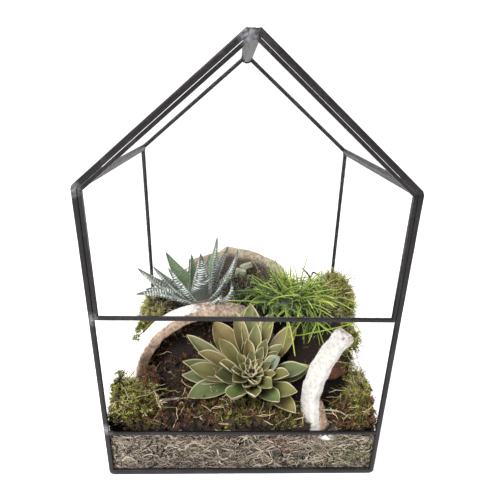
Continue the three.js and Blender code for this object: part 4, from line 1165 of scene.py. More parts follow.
def litter_hue(places, rng):
    """Tan on the left of the front, olive in the middle and right, with noise at two sizes."""
    x, _, z = places.T
    green = smooth(-40, 30, x) * smooth(-0.35, 0.5, cloudy(places, 26, 83))
    tan = 0.42 + 0.32 * cloudy(places, 12, 84) + rng.normal(size=len(x)) * 0.15
    olive = rng.uniform(0.76, 0.96, len(x))
    rosy = smooth(10, 3, np.hypot(x - ROSY_PATCH[0], z - ROSY_PATCH[1])) * rng.random(len(x)) > 0.45
    hue = np.where(rng.random(len(x)) < 0.6 * green, olive, np.minimum(tan, 0.7))
    return np.clip(np.where(rosy, 1.0, hue), 0, 1)


def litter_strands(count, face, rng):
    """Bent strands along one wall of the tray, mostly level and denser towards the wall's two ends:
    place + heading·s + bend·s²."""
    along = np.sin(np.pi / 2 * rng.uniform(-1, 1, count))
    height = TRAY_LOW + (TRAY_HIGH - TRAY_LOW) * rng.random(count) ** 1.15
    depth = rng.uniform(0, 2.2, count) ** 1.3
    tilt = rng.normal(size=count) * 0.55
    length = rng.uniform(5, 17, count)[:, None]
    stray = 0.06 * rng.normal(size=count)
    sign = -1 if face in ("front", "left") else 1
    if face in ("front", "back"):
        start = [along * SIDE_REACH, sign * (END_REACH + END_MARGIN - depth), height]
        heading = [np.cos(tilt), stray, np.sin(tilt)]
    else:
        start = [sign * (SIDE_REACH + SIDE_MARGIN - depth), along * END_REACH, height]
        heading = [stray, np.cos(tilt), np.sin(tilt)]
    start, heading = np.stack(start, -1), np.stack(heading, -1)
    curve = rng.normal(size=(count, 3)) * [0.8, 0.8, 1.6]
    curve = curve - heading * (curve * heading).sum(1, keepdims=True)
    s = np.linspace(-0.5, 0.5, 5)[None, :, None]
    routes = start[:, None] + (heading * length)[:, None] * s + (curve * length)[:, None] * s**2
    routes[..., 2] = np.clip(routes[..., 2], TRAY_LOW, TRAY_HIGH + 0.8)
    thick = 0.22 + 0.55 * rng.beta(1.2, 2.2, count)
    return tubes(routes, thick[:, None] * (1 - 0.9 * s[..., 0] ** 2), 3, hue=litter_hue(start, rng))


def tray_litter():
    """The fill is stretched level to the panes, and what is low in it sinks to the floor pane."""
    rng = np.random.default_rng(91)
    points, quads, triangles, values = ground("tray_fill", 5.6, 0.7, 6, 93, 0.8)
    values["hue"] = 0.05 + 0.08 * cloudy(points, 9, 94)
    points[:, :2] *= BODY_STRETCH
    points[:, 2] -= BODY_DROP * (1 - smooth(*DROP_HEIGHTS, points[:, 2]))
    body = points, quads, triangles, values
    make_piece("tray_fill_body", inside_glass([body]), LITTER, ["tray_fill"])
    for face, count in STRAND_COUNTS.items():
        strands = litter_strands(count, face, rng)
        make_piece(f"tray_litter_{face}", inside_glass([strands]), LITTER)


tray_litter()

# %% [markdown]
# Moss cushions are made of shoots. Each shoot here is a bent stem with thin pointed
# leaflets set round it in a spiral, a golden angle apart. A leaflet is a flat double
# pyramid of six triangles, so a cushion can have many hundreds of shoots. They grow
# from the cushion's solid, which stays underneath as a dark core.

# %% Moss shoots
GOLDEN_ANGLE = np.pi * (3 - np.sqrt(5))
LEAFLETS = 8
SHOOT_BEND, SHOOT_DROOP, SHOOT_SUNK = 0.28, 0.25, 0.8
STEM_RADIUS, FIBRE_RADIUS = 0.42, 0.34


def shoots(starts, ways, lengths, hue, rng, leaflet):
    """Stem: start + way·length·t + bend·t². Leaflet k leaves it at t = (k + 0.7)/n, part forwards and
    part sideways, turned by k golden angles. leaflet is its usual length in mm."""
    count = len(starts)
    bend = rng.normal(size=(count, 3)) * SHOOT_BEND * lengths[:, None]
    bend[:, 2] -= SHOOT_DROOP * lengths
    reach = ways * lengths[:, None]
    t = np.linspace(0, 1, 3)[None, :, None]
    routes = starts[:, None] + reach[:, None] * t + bend[:, None] * t**2
    t = t[..., 0]
    stems = tubes(routes, STEM_RADIUS * (1 - 0.6 * t), 3, hue=hue, tip=np.broadcast_to(t, (count, 3)))
    k = ((np.arange(LEAFLETS) + 0.7) / LEAFLETS)[None, :, None]
    places = starts[:, None] + reach[:, None] * k + bend[:, None] * k**2
    along = unit(reach[:, None] + 2 * bend[:, None] * k)
    side, over = sides_of(along, np.array([0.31, 0.17, 0.94]))
    turn = GOLDEN_ANGLE * np.arange(LEAFLETS) + rng.uniform(0, 2 * np.pi, (count, 1))
    around = np.cos(turn)[..., None] * side + np.sin(turn)[..., None] * over
    way = unit(0.75 * along + around)
    size = leaflet * rng.uniform(0.7, 1.2, (count, LEAFLETS, 1)) * (1.1 - 0.5 * k)
    flat, thick = sides_of(way, along)
    middle = places + way * size * 0.4
    corners = np.stack([
        middle + flat * size * 0.2, middle + thick * size * 0.07, middle - flat * size * 0.2], axis=2)
    blades = skin(
        corners.reshape(-1, 1, 3, 3), places.reshape(-1, 3), (places + way * size).reshape(-1, 3),
        hue=np.repeat(hue, LEAFLETS), tip=np.broadcast_to(k[..., 0], (count, LEAFLETS)).ravel())
    return [stems, blades]


# %% Moss finish
MOSS_STOPS = [
    (0, 34, 27, 20), (0.14, 78, 54, 34), (0.28, 128, 82, 56), (0.42, 80, 74, 34),
    (0.56, 112, 110, 44), (0.72, 160, 160, 72), (0.86, 168, 156, 112), (1, 222, 206, 164),
]


def moss_finish():
    """Colour along the attribute hue, with painted shade at the base of each shoot and painted light
    towards the attribute tip.
    """
    material, tree, bsdf = new_material("moss_growth")
    mask, fine = mottle(tree, place_output(tree), 80.0, 700.0)
    # Painted shade and light: 0.2 of the colour at a shoot's base, 1.6 times it at the tip.
    lift = map_range(tree, attribute(tree, "tip"), 0, 1, 0.2, 1.6)
    shade = maths(tree, "MULTIPLY", lift, map_range(tree, mask, 0, 1, 0.8, 1.1))
    colour = shaded(tree, ramp(tree, attribute(tree, "hue"), MOSS_STOPS), shade)
    set_sockets(tree, bsdf, Base_Color=colour, Roughness=0.8, Normal=bump(tree, fine, 0.3, 0.0006))
    return material


MOSS = moss_finish()


# %% Moss cushions
def fibres(starts, outwards, length, rng):
    """Loose strands over a cushion, most of them pale: they leave it low, arch over and wander."""
    count = len(starts)
    t = np.linspace(0, 1, 7)[None, :, None]
    way = unit(outwards * 0.5 + rng.normal(size=(count, 3)) * [0.9, 0.5, 0.35] + [0, 0, 0.2])
    reach = length * rng.uniform(0.5, 1.1, (count, 1, 1))
    bend = rng.normal(size=(count, 1, 3)) * 0.45
    bend[..., 2] -= 0.3
    routes = starts[:, None] + reach * (way[:, None] * t + bend * t**2)
    routes = routes + rng.normal(size=routes.shape) * 0.035 * length
    hue = np.where(rng.random(count) < 0.6, rng.uniform(0.86, 1.0, count), rng.uniform(0.2, 0.7, count))
    t = t[..., 0]
    radii = FIBRE_RADIUS * (1 - 0.5 * t) * rng.uniform(0.7, 1.3, (count, 1))
    return tubes(routes, radii, 3, hue=hue, tip=np.broadcast_to(0.55 + 0.3 * t, (count, 7)))


def moss_cushion(node, count, seed, tint, longest, leaflet, loose):
    """A dark core from the solid, count shoots that lean up and outwards from its surface, and some
    loose fibres. tint gives the hue at a place, and longest is a shoot's greatest length."""
    rng = np.random.default_rng(seed)
    starts, outwards = scatter(node, count, rng, upward)
    ways = unit(outwards * 0.8 + rng.normal(size=outwards.shape) * 0.45 + [0, 0, 0.5])
    lengths = longest * rng.uniform(0.35, 1.0, count)
    spread = 0.46 * cloudy(starts, 10, seed + 3) + rng.normal(size=count) * 0.08
    hue = np.clip(tint(starts) + spread, 0.02, 0.86)
    parts = shoots(starts - outwards * SHOOT_SUNK, ways, lengths, hue, rng, leaflet)
    at, way = scatter(node, loose, rng, upward)
    parts.append(fibres(at, way, 1.7 * longest, rng))
    points, quads, triangles, _ = ground(node, 2.6, 0.7, 5, seed + 1, 0.3)
    # The core's tip of 0.3 gives it painted shade as well.
    dark = 0.04 + 0.2 * np.abs(cloudy(points, 8, seed + 2))
    parts.append((points, quads, triangles, {"hue": dark, "tip": np.full(len(points), 0.3)}))
    make_piece(f"{node}_shoots", inside_glass(parts), MOSS, [node])


# Where the side piece's foot stands, across and in depth.
SIDE_FOOT = (57.0, -84.0)


def upward(at, way):
    """Favours faces that look up or to the front, and spares the place before the side piece's foot."""
    from_foot = np.hypot(at[:, 0] - SIDE_FOOT[0], at[:, 1] - SIDE_FOOT[1])
    facing = 0.2 + np.clip(way[:, 2], 0, 1) + 0.4 * np.clip(-way[:, 1], 0, 1)
    return facing * (0.01 + smooth(6, 10, from_foot))


def front_tint(at):
    """Rust at the far left, then nearly black, then olive towards the middle and the right."""
    dark = smooth(-70, -58, at[:, 0]) * (1 - smooth(-38, -24, at[:, 0]))
    return mix(0.3, 0.5, smooth(-40, -16, at[:, 0])) - 0.16 * dark


def left_tint(at):
    """Rust low down and yellow-green on top."""
    return mix(0.26, 0.7, smooth(46, 56, at[:, 2]))


def right_tint(at):
    """Yellow-green up the edge, and rust at the front and beside the side piece."""
    return mix(0.27, 0.76, smooth(-80, -66, at[:, 1]) * smooth(74, 88, at[:, 0]) * smooth(40, 52, at[:, 2]))


moss_cushion("moss_front", 940, 101, front_tint, 8.0, 3.0, 150)
moss_cushion("moss_left", 650, 111, left_tint, 10.0, 3.4, 70)
moss_cushion("moss_right", 620, 121, right_tint, 9.5, 3.3, 150)
moss_cushion("moss_back_right", 700, 131, lambda at: 0.6 + 0.2 * smooth(84, 110, at[:, 2]), 10.5, 3.4, 200)
moss_cushion("moss_back_left", 500, 141, lambda at: 0.46 + 0.2 * smooth(82, 100, at[:, 2]), 9.5, 3.1, 60)


def moss_on_soil():
    """Thin growth on the bare soil, without a core: dark on top of the mound, rust and brown under the
    arch, golden green along the right edge and mixed on the flanks behind."""
    rng = np.random.default_rng(146)
    front = lambda at: smooth(-6, -16, at[:, 1])
    top = lambda at, way: np.clip(way[:, 2], 0, 1) * (smooth(86, 96, at[:, 2]) + 0.2)
    arch = lambda at, way: smooth(-86, -70, at[:, 0]) * smooth(0, -16, at[:, 0]) * front(at) + 0.0004
    edge = lambda at, way: smooth(76, 86, at[:, 0]) * front(at) + 0.001
    rear = lambda at, way: smooth(10, 40, at[:, 1]) * (1.2 - way[:, 2]) + 0.001
    parts = []
    for region, count, hue, spread, length in (
            (top, 640, 0.36, 0.22, 8.5), (arch, 520, 0.16, 0.34, 6.5), (edge, 240, 0.6, 0.3, 7.5),
            (rear, 380, 0.4, 0.4, 6.5)):
        starts, outwards = scatter("soil_mound", count, rng, region)
        ways = unit(outwards * 0.7 + rng.normal(size=outwards.shape) * 0.5 + [0, 0, 0.4])
        hues = np.clip(hue + spread * cloudy(starts, 12, 147) + rng.normal(size=count) * 0.07, 0, 0.8)
        lengths = length * rng.uniform(0.35, 1.0, count)
        parts += shoots(starts - outwards * SHOOT_SUNK, ways, lengths, hues, rng, 3.0)
        at, way = scatter("soil_mound", count // 5, rng, region)
        parts.append(fibres(at, way, 2 * length, rng))
    make_piece("soil_moss_shoots", inside_glass(parts), MOSS)


# Each tuft: its middle, its half sizes, its count and its hue.
LOOSE_TUFTS = (
    ((-73.5, -54, 63), (5, 4, 7), 90, 0.27), ((-76, -57, 55), (6, 5, 5), 80, 0.8),
    ((-83, -62, 50), (6, 6, 6), 80, 0.6), ((88, -34, 84), (4, 8, 7), 80, 0.62),
)
# Each sprig: the points that it hangs along, and its hue.
HANGING_SPRIGS = (
    (((-76, -20, 92), (-83, -24, 90), (-89, -28, 78)), 0.72),
    (((-78, -16, 92), (-84, -20, 92), (-88, -23, 84)), 0.66),
)
SPRIG_SHOOTS = 36


def moss_tuft(centre, size, count, hue, rng):
    """Shoots that stand out all round from a small lump: start = centre + way·size."""
    ways = unit(rng.normal(size=(count, 3)) + [0, -0.4, 0.3])
    starts = np.array(centre, float) + ways * size
    hues = np.clip(hue + rng.normal(size=count) * 0.1, 0.02, 0.9)
    return shoots(starts - ways * 2, ways, rng.uniform(3, 7, count), hues, rng, 3.2)


def loose_tufts():
    """Rust and pale tufts over the arch's left foot and one by the side piece, and two green sprigs
    that hang outside the arch."""
    rng = np.random.default_rng(148)
    parts = []
    for centre, size, count, hue in LOOSE_TUFTS:
        parts += moss_tuft(centre, np.array(size), count, hue, rng)
    for route, hue in HANGING_SPRIGS:
        path = smooth_route(route, SPRIG_SHOOTS)
        starts = path + rng.normal(size=path.shape) * 0.8
        ways = unit(rng.normal(size=path.shape) + [-0.3, -0.2, 0.1])
        lengths = rng.uniform(2, 4.5, SPRIG_SHOOTS)
        hues = np.clip(hue + rng.normal(size=SPRIG_SHOOTS) * 0.06, 0, 0.9)
        parts += shoots(starts, ways, lengths, hues, rng, 2.8)
    make_piece("moss_loose_tufts", inside_glass(parts), MOSS)


moss_on_soil()
loose_tufts()

# %% [markdown]
# The rosette and the zebra plant have thick pointed leaves. A leaf is a closed
# section carried along a bent midrib: the upper face is dished, the lower face is
# keeled, and the width follows a smooth curve through a few chosen points. The
# attributes margin and under say how far a point is from the leaf's edge and
# whether it is on the lower face, and the finish paints the pale margin with them.

# %% Fleshy leaves
THINNEST = 0.004


def fleshy_leaves(base, tip, face, sag, half, thickness, shape, steps, sides, bluntness, cup, twist, sway):
    """For leaf n, share t and angle a: midrib(t) + side·cos a·width + over·height(a)·thickness. The
    margins rise by cup·width·|cos a|^1.6, the blade turns by twist·t, and the midrib sways by sin πt."""
    chord = tip - base
    length = np.linalg.norm(chord, axis=1)
    up = unit(face - chord * ((face * chord).sum(1) / length**2)[:, None])
    middle = mix(base, tip, 0.55) - up * (2 * sag * length)[:, None]
    even = np.linspace(0, 1, steps)
    t = mix(even, np.sin(even * np.pi / 2), 0.55)
    midrib = bezier(base, middle, tip, t)
    along = unit(np.gradient(midrib, axis=1))
    side, over = sides_of(along, up[:, None])
    midrib = midrib + side * ((sway * length)[:, None] * np.sin(np.pi * t))[..., None]
    turn = (twist[:, None] * t)[..., None]
    side, over = side * np.cos(turn) + over * np.sin(turn), over * np.cos(turn) - side * np.sin(turn)
    pointed = through(shape["at"], shape["width"], t)
    blunt = np.sqrt(1 - np.clip((t - 0.6) / 0.4, 0, 1) ** 2.6) * np.interp(t, (0, 0.6), (0.3, 1))
    wide = np.maximum(mix(pointed, blunt, bluntness[:, None]), THINNEST)
    thick = np.maximum(through(shape["at"], shape["thick"], t), THINNEST)
    a = 2 * np.pi * np.arange(sides) / sides
    y = np.cos(a)
    upper = np.sin(a) > 0
    height = np.where(upper, shape["upper"](y), shape["lower"](y))
    across = (half[:, None] * wide)[..., None] * y
    lift = thickness[:, None, None] * thick[None, :, None] * height
    lift = lift + (cup[:, None] * half[:, None] * wide)[..., None] * (np.abs(y) ** 1.6 - 0.4)
    rings = midrib[:, :, None] + side[:, :, None] * across[..., None] + over[:, :, None] * lift[..., None]
    facing = np.where(upper, 1.0, -1.0)
    push = unit(side[:, :, None] * (y * 0.2)[:, None] + over[:, :, None] * facing[:, None])
    margin = (half[:, None] * wide)[..., None] * (1 - np.abs(y))
    under = np.broadcast_to(np.where(upper, 0.0, 1.0), margin.shape)
    return rings, midrib, push, across, margin, under, t


# %% Rosette leaves
# The rosette grows from its foot along an axis that leans to the front and rises at 66 degrees.
FOOT = np.array([6.0, -48.0, 56.0])
RISE = np.radians(66)
AXIS = unit(np.array([0.03, -np.cos(RISE), np.sin(RISE)]))
RIGHT = unit(np.array([1.0, 0.0, 0.0]) - AXIS * AXIS[0])
OVER = np.cross(AXIS, RIGHT)
# Each leaf: bearing and opening in degrees, length and half width in mm, tone from 0 to 1, bluntness.
OUTER_LEAVES = np.array([
    (158, 61, 60, 7.6, 0.4, 0), (173, 52, 49, 6.6, 0.08, 0), (177, 68, 54, 7.0, 0.48, 0),
    (183, 63, 50, 7.8, 0.25, 0), (185, 76, 52, 6.4, 0.5, 0), (204, 77, 50, 8.6, 0.56, 0.2),
    (244, 46, 44, 8.2, 0.68, 1), (271, 40, 42, 6.2, 0.3, 0), (298, 50, 44, 7.2, 0.6, 0),
    (310, 66, 47, 7.8, 0.12, 0), (322, 50, 46, 6.8, 0.3, 0), (353, 52, 47, 6.8, 0.5, 0),
    (2, 66, 46, 7.2, 0.45, 0), (41, 56, 51, 8.6, 0.14, 0.9), (68, 46, 54, 6.4, 0.2, 0),
    (93, 48, 57, 8.4, 0.36, 0.2), (112, 44, 53, 6.6, 0.14, 0), (134, 54, 51, 10.4, 0.04, 0.5),
    (200, 46, 37, 7.0, 0.42, 0), (182, 38, 35, 5.6, 0.15, 0), (85, 37, 43, 5.4, 0.36, 0),
    (30, 36, 38, 5.4, 0.4, 0), (300, 35, 37, 5.8, 0.3, 0), (335, 38, 40, 5.8, 0.25, 0),
    (60, 30, 34, 4.8, 0.42, 0), (105, 27, 33, 5.0, 0.1, 0), (146, 44, 41, 5.6, 0.2, 0),
    (12, 32, 32, 6.0, 1.0, 0.3), (226, 34, 32, 5.6, 0.3, 0), (270, 27, 30, 5.2, 0.35, 0),
])
INNER_LEAVES, INNER_TURN = 22, 137.508
FOREMOST_TIP = -87.4
ROSETTE_STEPS, ROSETTE_SIDES = 30, 20
ROSETTE_SHAPE = {
    "at": (0, 0.25, 0.48, 0.62, 0.78, 0.9, 0.97, 1), "width": (0.3, 0.62, 0.92, 1, 0.82, 0.44, 0.13, 0),
    "thick": (0.9, 1.1, 1, 0.9, 0.75, 0.5, 0.3, 0),
    "upper": lambda y: 0.3 - 0.1 * (1 - y**2), "lower": lambda y: 0.3 - 1.0 * (1 - np.abs(y) ** 1.7),
}


def rosette_leaves():
    """The outer leaves of the list, and inner ones a golden angle apart that open as they grow."""
    rng = np.random.default_rng(152)
    i = np.arange(INNER_LEAVES)
    inner = np.stack([
        20 + i * INNER_TURN, 3 + 1.5 * i, 16 + 0.72 * i, 2.5 + 0.09 * i,
        rng.uniform(0.05, 0.5, len(i)), 0 * i], -1)
    turn, opened, length, half, tone, bluntness = np.concatenate([OUTER_LEAVES, inner]).T
    count = len(turn)
    turn, lean = np.radians(turn), np.radians(opened)
    out = RIGHT * np.cos(turn)[:, None] + OVER * np.sin(turn)[:, None]
    along = AXIS * np.cos(lean)[:, None] + out * np.sin(lean)[:, None]
    face = AXIS * np.sin(lean)[:, None] - out * np.cos(lean)[:, None]
    tip = FOOT + 4 * out + along * length[:, None]
    tip[:, 1] = np.maximum(tip[:, 1], FOREMOST_TIP)
    base = FOOT + 3 * out + AXIS * mix(12, -2, smooth(4, 66, opened))[:, None]
    thickness = mix(1.5, 2.8, smooth(20, 45, length))
    sag = mix(0.03, 0.09, rng.random(count))
    cup = mix(0.75, 0.5, smooth(20, 50, length))
    twist, sway = rng.uniform(-0.45, 0.45, count), rng.uniform(-0.04, 0.04, count)
    rings, midrib, push, across, margin, under, t = fleshy_leaves(
        base, tip, face, sag, half, thickness, ROSETTE_SHAPE, ROSETTE_STEPS, ROSETTE_SIDES,
        bluntness, cup, twist, sway)
    rings = rings + push * (0.2 * cloudy(rings, 6, 151))[..., None]
    ripple = 0.7 * grain(rings, 9, 153) * smooth(2.5, 0, margin)
    rings = rings + AXIS * ripple[..., None]
    lane = np.abs(across) / np.maximum(half[:, None, None], 1)
    return skin(
        rings, midrib[:, 0], midrib[:, -1], margin=margin, under=under, tone=tone, lane=lane,
        along=np.broadcast_to(t, (count, len(t))))


def rosette_finish():
    """Brown-olive to mint by the tone of the leaf, with painted shade at the bases where the leaves
    crowd together, a thin cream margin and a brown tip.
    """
    material, tree, bsdf = new_material("rosette_leaf")
    mask, fine = mottle(tree, place_output(tree), 60.0, 900.0)
    tone = maths(tree, "MULTIPLY_ADD", mask, 0.22, attribute(tree, "tone"))
    along = attribute(tree, "along")
    colour = ramp(tree, tone, [
        (0, 132, 106, 70), (0.2, 142, 128, 82), (0.42, 130, 130, 82), (0.6, 110, 118, 84),
        (0.8, 116, 132, 78), (0.95, 136, 154, 92), (1.0, 158, 172, 152)])
    colour = blend_colours(tree, attribute(tree, "under"), colour, linear(98, 94, 66))
    # Painted shade: 0.22 of the colour at a leaf's base, rising to 1.16 times it from 0.8 of its length.
    colour = shaded(tree, colour, map_range(tree, along, 0.1, 0.8, 0.22, 1.16))
    colour = shaded(tree, colour, map_range(tree, attribute(tree, "lane"), 0.0, 0.7, 0.74, 1.12))
    colour = shaded(tree, colour, map_range(tree, mask, 0, 1, 0.78, 1.12))
    edge = map_range(tree, attribute(tree, "margin"), 0.25, 0.95, 1.0, 0.0)
    colour = blend_colours(tree, edge, colour, linear(226, 214, 174))
    tip = map_range(tree, along, 0.93, 1.0, 0.0, 0.75)
    colour = blend_colours(tree, tip, colour, linear(150, 112, 92))
    set_sockets(
        tree, bsdf, Base_Color=colour, Roughness=0.45, Normal=bump(tree, fine, 0.25, 0.0006),
        Subsurface_Weight=0.06, Subsurface_Radius=(0.002, 0.003, 0.001))
    return material


def rosette_stump():
    """The short thick stem that the leaves grow from, down to the soil."""
    route = FOOT + AXIS * np.array([10, 6, 0, -6, -12, -18, -22])[:, None]
    radii = np.array([2.5, 4.2, 5.4, 6.2, 6.4, 6, 5.6])
    # along 0 gives the stump the painted shade of the leaf bases.
    return tubes(route[None], radii[None], 18, margin=[9.0], under=[1.0], tone=[0.2], lane=[0.2], along=[0.0])


ROSETTE = rosette_finish()
make_piece("rosette_leaves", [rosette_leaves(), rosette_stump()], ROSETTE, ["rosette"])

# %% [markdown]
# The zebra plant's leaves are longer and narrower, smooth and green on the upper
# face, with raised white bands across the lower face. The bands are real ridges:
# the lower face is pushed out where a wave along the leaf is high, and the same
# wave becomes the attribute band, which the finish paints white.

# %% Zebra plant
# Where the leaves meet.
CROWN = np.array([-38.0, -2.0, 99.0])
# Each leaf: the tip's place, the sag, the half width, the tone, and how banded the upper face is.
ZEBRA_LEAVES = np.array([
    (-89, -6, 134, 0.06, 7.4, 0.2, 0.7), (-79, 8, 129, 0.03, 6.0, 0.3, 0.5),
    (-82, -14, 118, -0.03, 9.2, 0.1, 1), (-88, -22, 117, -0.08, 7.4, 0.1, 1),
    (-62, -14, 138, 0.02, 7.2, 0.25, 0.9), (-70, 22, 137, 0.02, 8.6, 0.72, 0.15),
    (-35, -20, 153, 0.02, 8.0, 0.3, 0), (-23, 4, 159, 0.02, 6.6, 0.9, 0.1),
    (-14, 22, 143, 0.03, 5.6, 0.2, 0.4), (-6, -2, 150, 0.09, 5.8, 0.15, 0.8),
    (-11, -14, 127, 0.26, 4.4, 0.1, 0.9), (-18, -24, 120, 0.12, 5.0, 0.1, 0.9),
    (-50, 30, 128, 0.03, 6, 0.6, 0.1), (-31, 33, 131, 0.03, 6, 0.5, 0.1),
    (-68, 24, 119, 0.03, 5.6, 0.4, 0.3), (-45, 6, 142, 0.03, 5, 0.8, 0.1),
    (-31, -4, 140, 0.02, 4.6, 0.3, 0.3),
])
ZEBRA_SHAPE = {
    "at": (0, 0.2, 0.48, 0.76, 0.92, 1), "width": (0.8, 1, 0.8, 0.4, 0.15, 0),
    "thick": (0.9, 1, 0.85, 0.6, 0.3, 0),
    "upper": lambda y: 0.3 - 0.15 * (1 - y**2), "lower": lambda y: 0.3 - 0.87 * (1 - y**4),
}
BAND_SPACING, DASH_SPACING, BAND_HEIGHT = 2.3, 2.9, 0.32
ZEBRA_STEPS, ZEBRA_SIDES = 96, 18
WIDENED, ZEBRA_THICKNESS, ZEBRA_CUP = 1.12, 4.6, 0.22


def zebra_leaves():
    """band = where the wave along the leaf is high, cut into dashes across it and worn off at both ends."""
    rng = np.random.default_rng(161)
    tip = ZEBRA_LEAVES[:, :3]
    sag, half, tone, banded = ZEBRA_LEAVES[:, 3:].T
    outward_way = unit((tip - CROWN) * [1, 1, 0])
    base = CROWN + 4 * outward_way
    face = unit(np.array([0, 0, 1]) - 0.8 * outward_way)
    count = len(tip)
    thickness, cup, bluntness = (np.full(count, value) for value in (ZEBRA_THICKNESS, ZEBRA_CUP, 0.0))
    twist, sway = rng.uniform(-0.3, 0.3, count), rng.uniform(-0.03, 0.03, count)
    rings, midrib, push, across, margin, under, t = fleshy_leaves(
        base, tip, face, sag, half * WIDENED, thickness, ZEBRA_SHAPE, ZEBRA_STEPS, ZEBRA_SIDES,
        bluntness, cup, twist, sway)
    length = np.linalg.norm(tip - base, axis=1)
    arc = t[None, :, None] * length[:, None, None]
    row = arc / BAND_SPACING + 0.4 * grain(rings, 4.5, 162) + rng.random((count, 1, 1))
    band = smooth(0.1, 0.7, np.cos(row * 2 * np.pi))
    shift = 3 * grain(np.stack([np.round(row), 0 * row, 0 * row], -1) * 2.7, 1.0, 163)
    dash = smooth(-0.7, -0.1, np.cos(across / DASH_SPACING * 2 * np.pi + shift))
    grown = smooth(0.02, 0.12, t)[None, :, None] * smooth(0.94, 0.84, t)[None, :, None]
    band = band * dash * grown * mix(banded[:, None, None], 1.0, under)
    rings = rings + push * (BAND_HEIGHT * band)[..., None]
    return skin(
        rings, midrib[:, 0], midrib[:, -1], margin=margin, under=under, tone=tone, band=band,
        along=np.broadcast_to(t, (count, len(t))))


def zebra_finish():
    """Grey-green to mid green by the leaf, white on the bands, pale at the base, dark at the very tip."""
    material, tree, bsdf = new_material("zebra_leaf")
    mask, fine = mottle(tree, place_output(tree), 70.0, 900.0)
    along = attribute(tree, "along")
    colour = ramp(tree, attribute(tree, "tone"), [
        (0, 76, 85, 80), (0.35, 85, 99, 84), (0.65, 84, 103, 64), (0.85, 100, 126, 84), (1, 126, 156, 118)])
    colour = blend_colours(tree, attribute(tree, "under"), colour, linear(66, 76, 68))
    colour = shaded(tree, colour, map_range(tree, mask, 0, 1, 0.72, 1.15))
    edge = map_range(tree, attribute(tree, "margin"), 0.15, 0.7, 0.6, 0.0)
    colour = blend_colours(tree, edge, colour, linear(176, 182, 170))
    colour = blend_colours(tree, map_range(tree, along, 0.02, 0.28, 0.7, 0.0), colour, linear(176, 174, 158))
    colour = blend_colours(tree, attribute(tree, "band"), colour, linear(234, 237, 233))
    colour = blend_colours(tree, map_range(tree, along, 0.82, 0.95, 0.0, 0.9), colour, linear(70, 62, 58))
    set_sockets(tree, bsdf, Base_Color=colour, Roughness=0.45, Normal=bump(tree, fine, 0.15, 0.0005))
    return material


def zebra_crown():
    """The short thick stem that the leaves grow from."""
    points, quads, triangles, _ = solder_blob(CROWN, (8, 8, 6), 167, (28, 16))
    fill = np.ones(len(points))
    return points, quads, triangles, {
        "margin": 9 * fill, "under": fill, "tone": 0.3 * fill, "band": 0 * fill, "along": 0.2 * fill}


ZEBRA = zebra_finish()
make_piece("zebra_leaves", [zebra_leaves(), zebra_crown()], ZEBRA, ["zebra_plant"])

# %% [markdown]
# The third plant is a tuft of thin lime-green strands that arch out of a low
# cushion, and some hang forwards between the rosette and the side piece. The
# solid already holds seventy of them by a rule, and the same rule with the same
# random draw gives them again here, rounder, bent aside and with finer ones between.

# %% Needle plant
NEEDLE_CENTRE = np.array([42.0, -6.0, 104.0])
NEEDLE_SPREAD = (30.0, 17.0)
MODEL_BLADES = 70
LONGEST_BLADE = 46.0
BLADE_SWING = 0.34
BLADE_RADIUS, TUFT_RADIUS, HANGING_RADIUS = 0.95, 0.84, 0.85
COUNTER_STEP = 0x6D2B79F5
CUSHION_HALF_SIZES, CUSHION_FLOOR = (30, 17, 9), 96.6


def model_draws(seed, count):
    """The random numbers of the model's own rule: a counter whose bits are mixed by multiplying."""
    state, draws = seed, []
    for _ in range(count):
        state = (state + COUNTER_STEP) & WORD
        t = ((state ^ (state >> 15)) * (state | 1)) & WORD
        t ^= (t + (((t ^ (t >> 7)) * (t | 61)) & WORD)) & WORD
        draws.append(((t ^ (t >> 14)) & WORD) / 2**32)
    return np.array(draws)


def blade_routes(count, draws, steps):
    """The roots, headings, lengths and lifts of the model's own rule. Strand i also swings aside by
    BLADE_SWING·length·sin 7i, so that no two lie alike."""
    i = np.arange(count)
    ring = np.sqrt((i + 0.5) / count)
    bearing = i * GOLDEN_ANGLE
    first, second, third, fourth = draws.reshape(count, 4).T
    place = np.stack([np.cos(bearing), np.sin(bearing)]) * np.reshape(NEEDLE_SPREAD, (2, 1)) * ring * 0.85
    root = NEEDLE_CENTRE + np.stack([*place, np.ones(count)], -1)
    heading = bearing + mix(-1.2, 1.2, first)
    length = LONGEST_BLADE * mix(0.55, 1.0, second)
    lift = mix(1.35, 0.55, ring) + mix(-0.25, 0.2, third)
    droop = length * mix(0.1, 0.55, ring) * mix(0.6, 1.3, fourth)
    swing = length * BLADE_SWING * np.sin(7 * i)
    return arched(root, heading, length, lift, droop, swing, steps)


def arched(root, heading, length, lift, droop, swing, steps):
    """Strands that leave their roots at a lift, sink by droop·t² and swing to one side by swing·t²."""
    t = np.linspace(0, 1, steps)[None]
    level = (length * np.cos(lift))[:, None] * t
    height = (length * np.sin(lift))[:, None] * t - droop[:, None] * t**2
    ahead = np.stack([np.cos(heading), np.sin(heading), 0 * heading], -1)[:, None]
    aside = np.stack([-np.sin(heading), np.cos(heading), 0 * heading], -1)[:, None]
    places = root[:, None] + ahead * level[..., None] + aside * (swing[:, None] * t**2)[..., None]
    places[..., 2] += height
    return places


# Each tuft: its middle, its half sizes, its count, its longest strand, its lift and its hue.
TUFTS = (
    ((40, -6, 103), (28, 15), 190, 36, (0.25, 1.2), (0.25, 0.85)),
    ((14, 2, 100), (18, 13), 120, 27, (0.6, 1.45), (0.0, 0.42)),
    ((38, 10, 108), (8, 5), 80, 24, (1.0, 1.5), (0.62, 0.95)),
    ((64, 0, 103), (14, 12), 90, 28, (0.4, 1.3), (0.5, 1.0)),
    ((54, -27, 100), (11, 5), 34, 22, (-0.2, 0.6), (0.2, 0.5)),
)


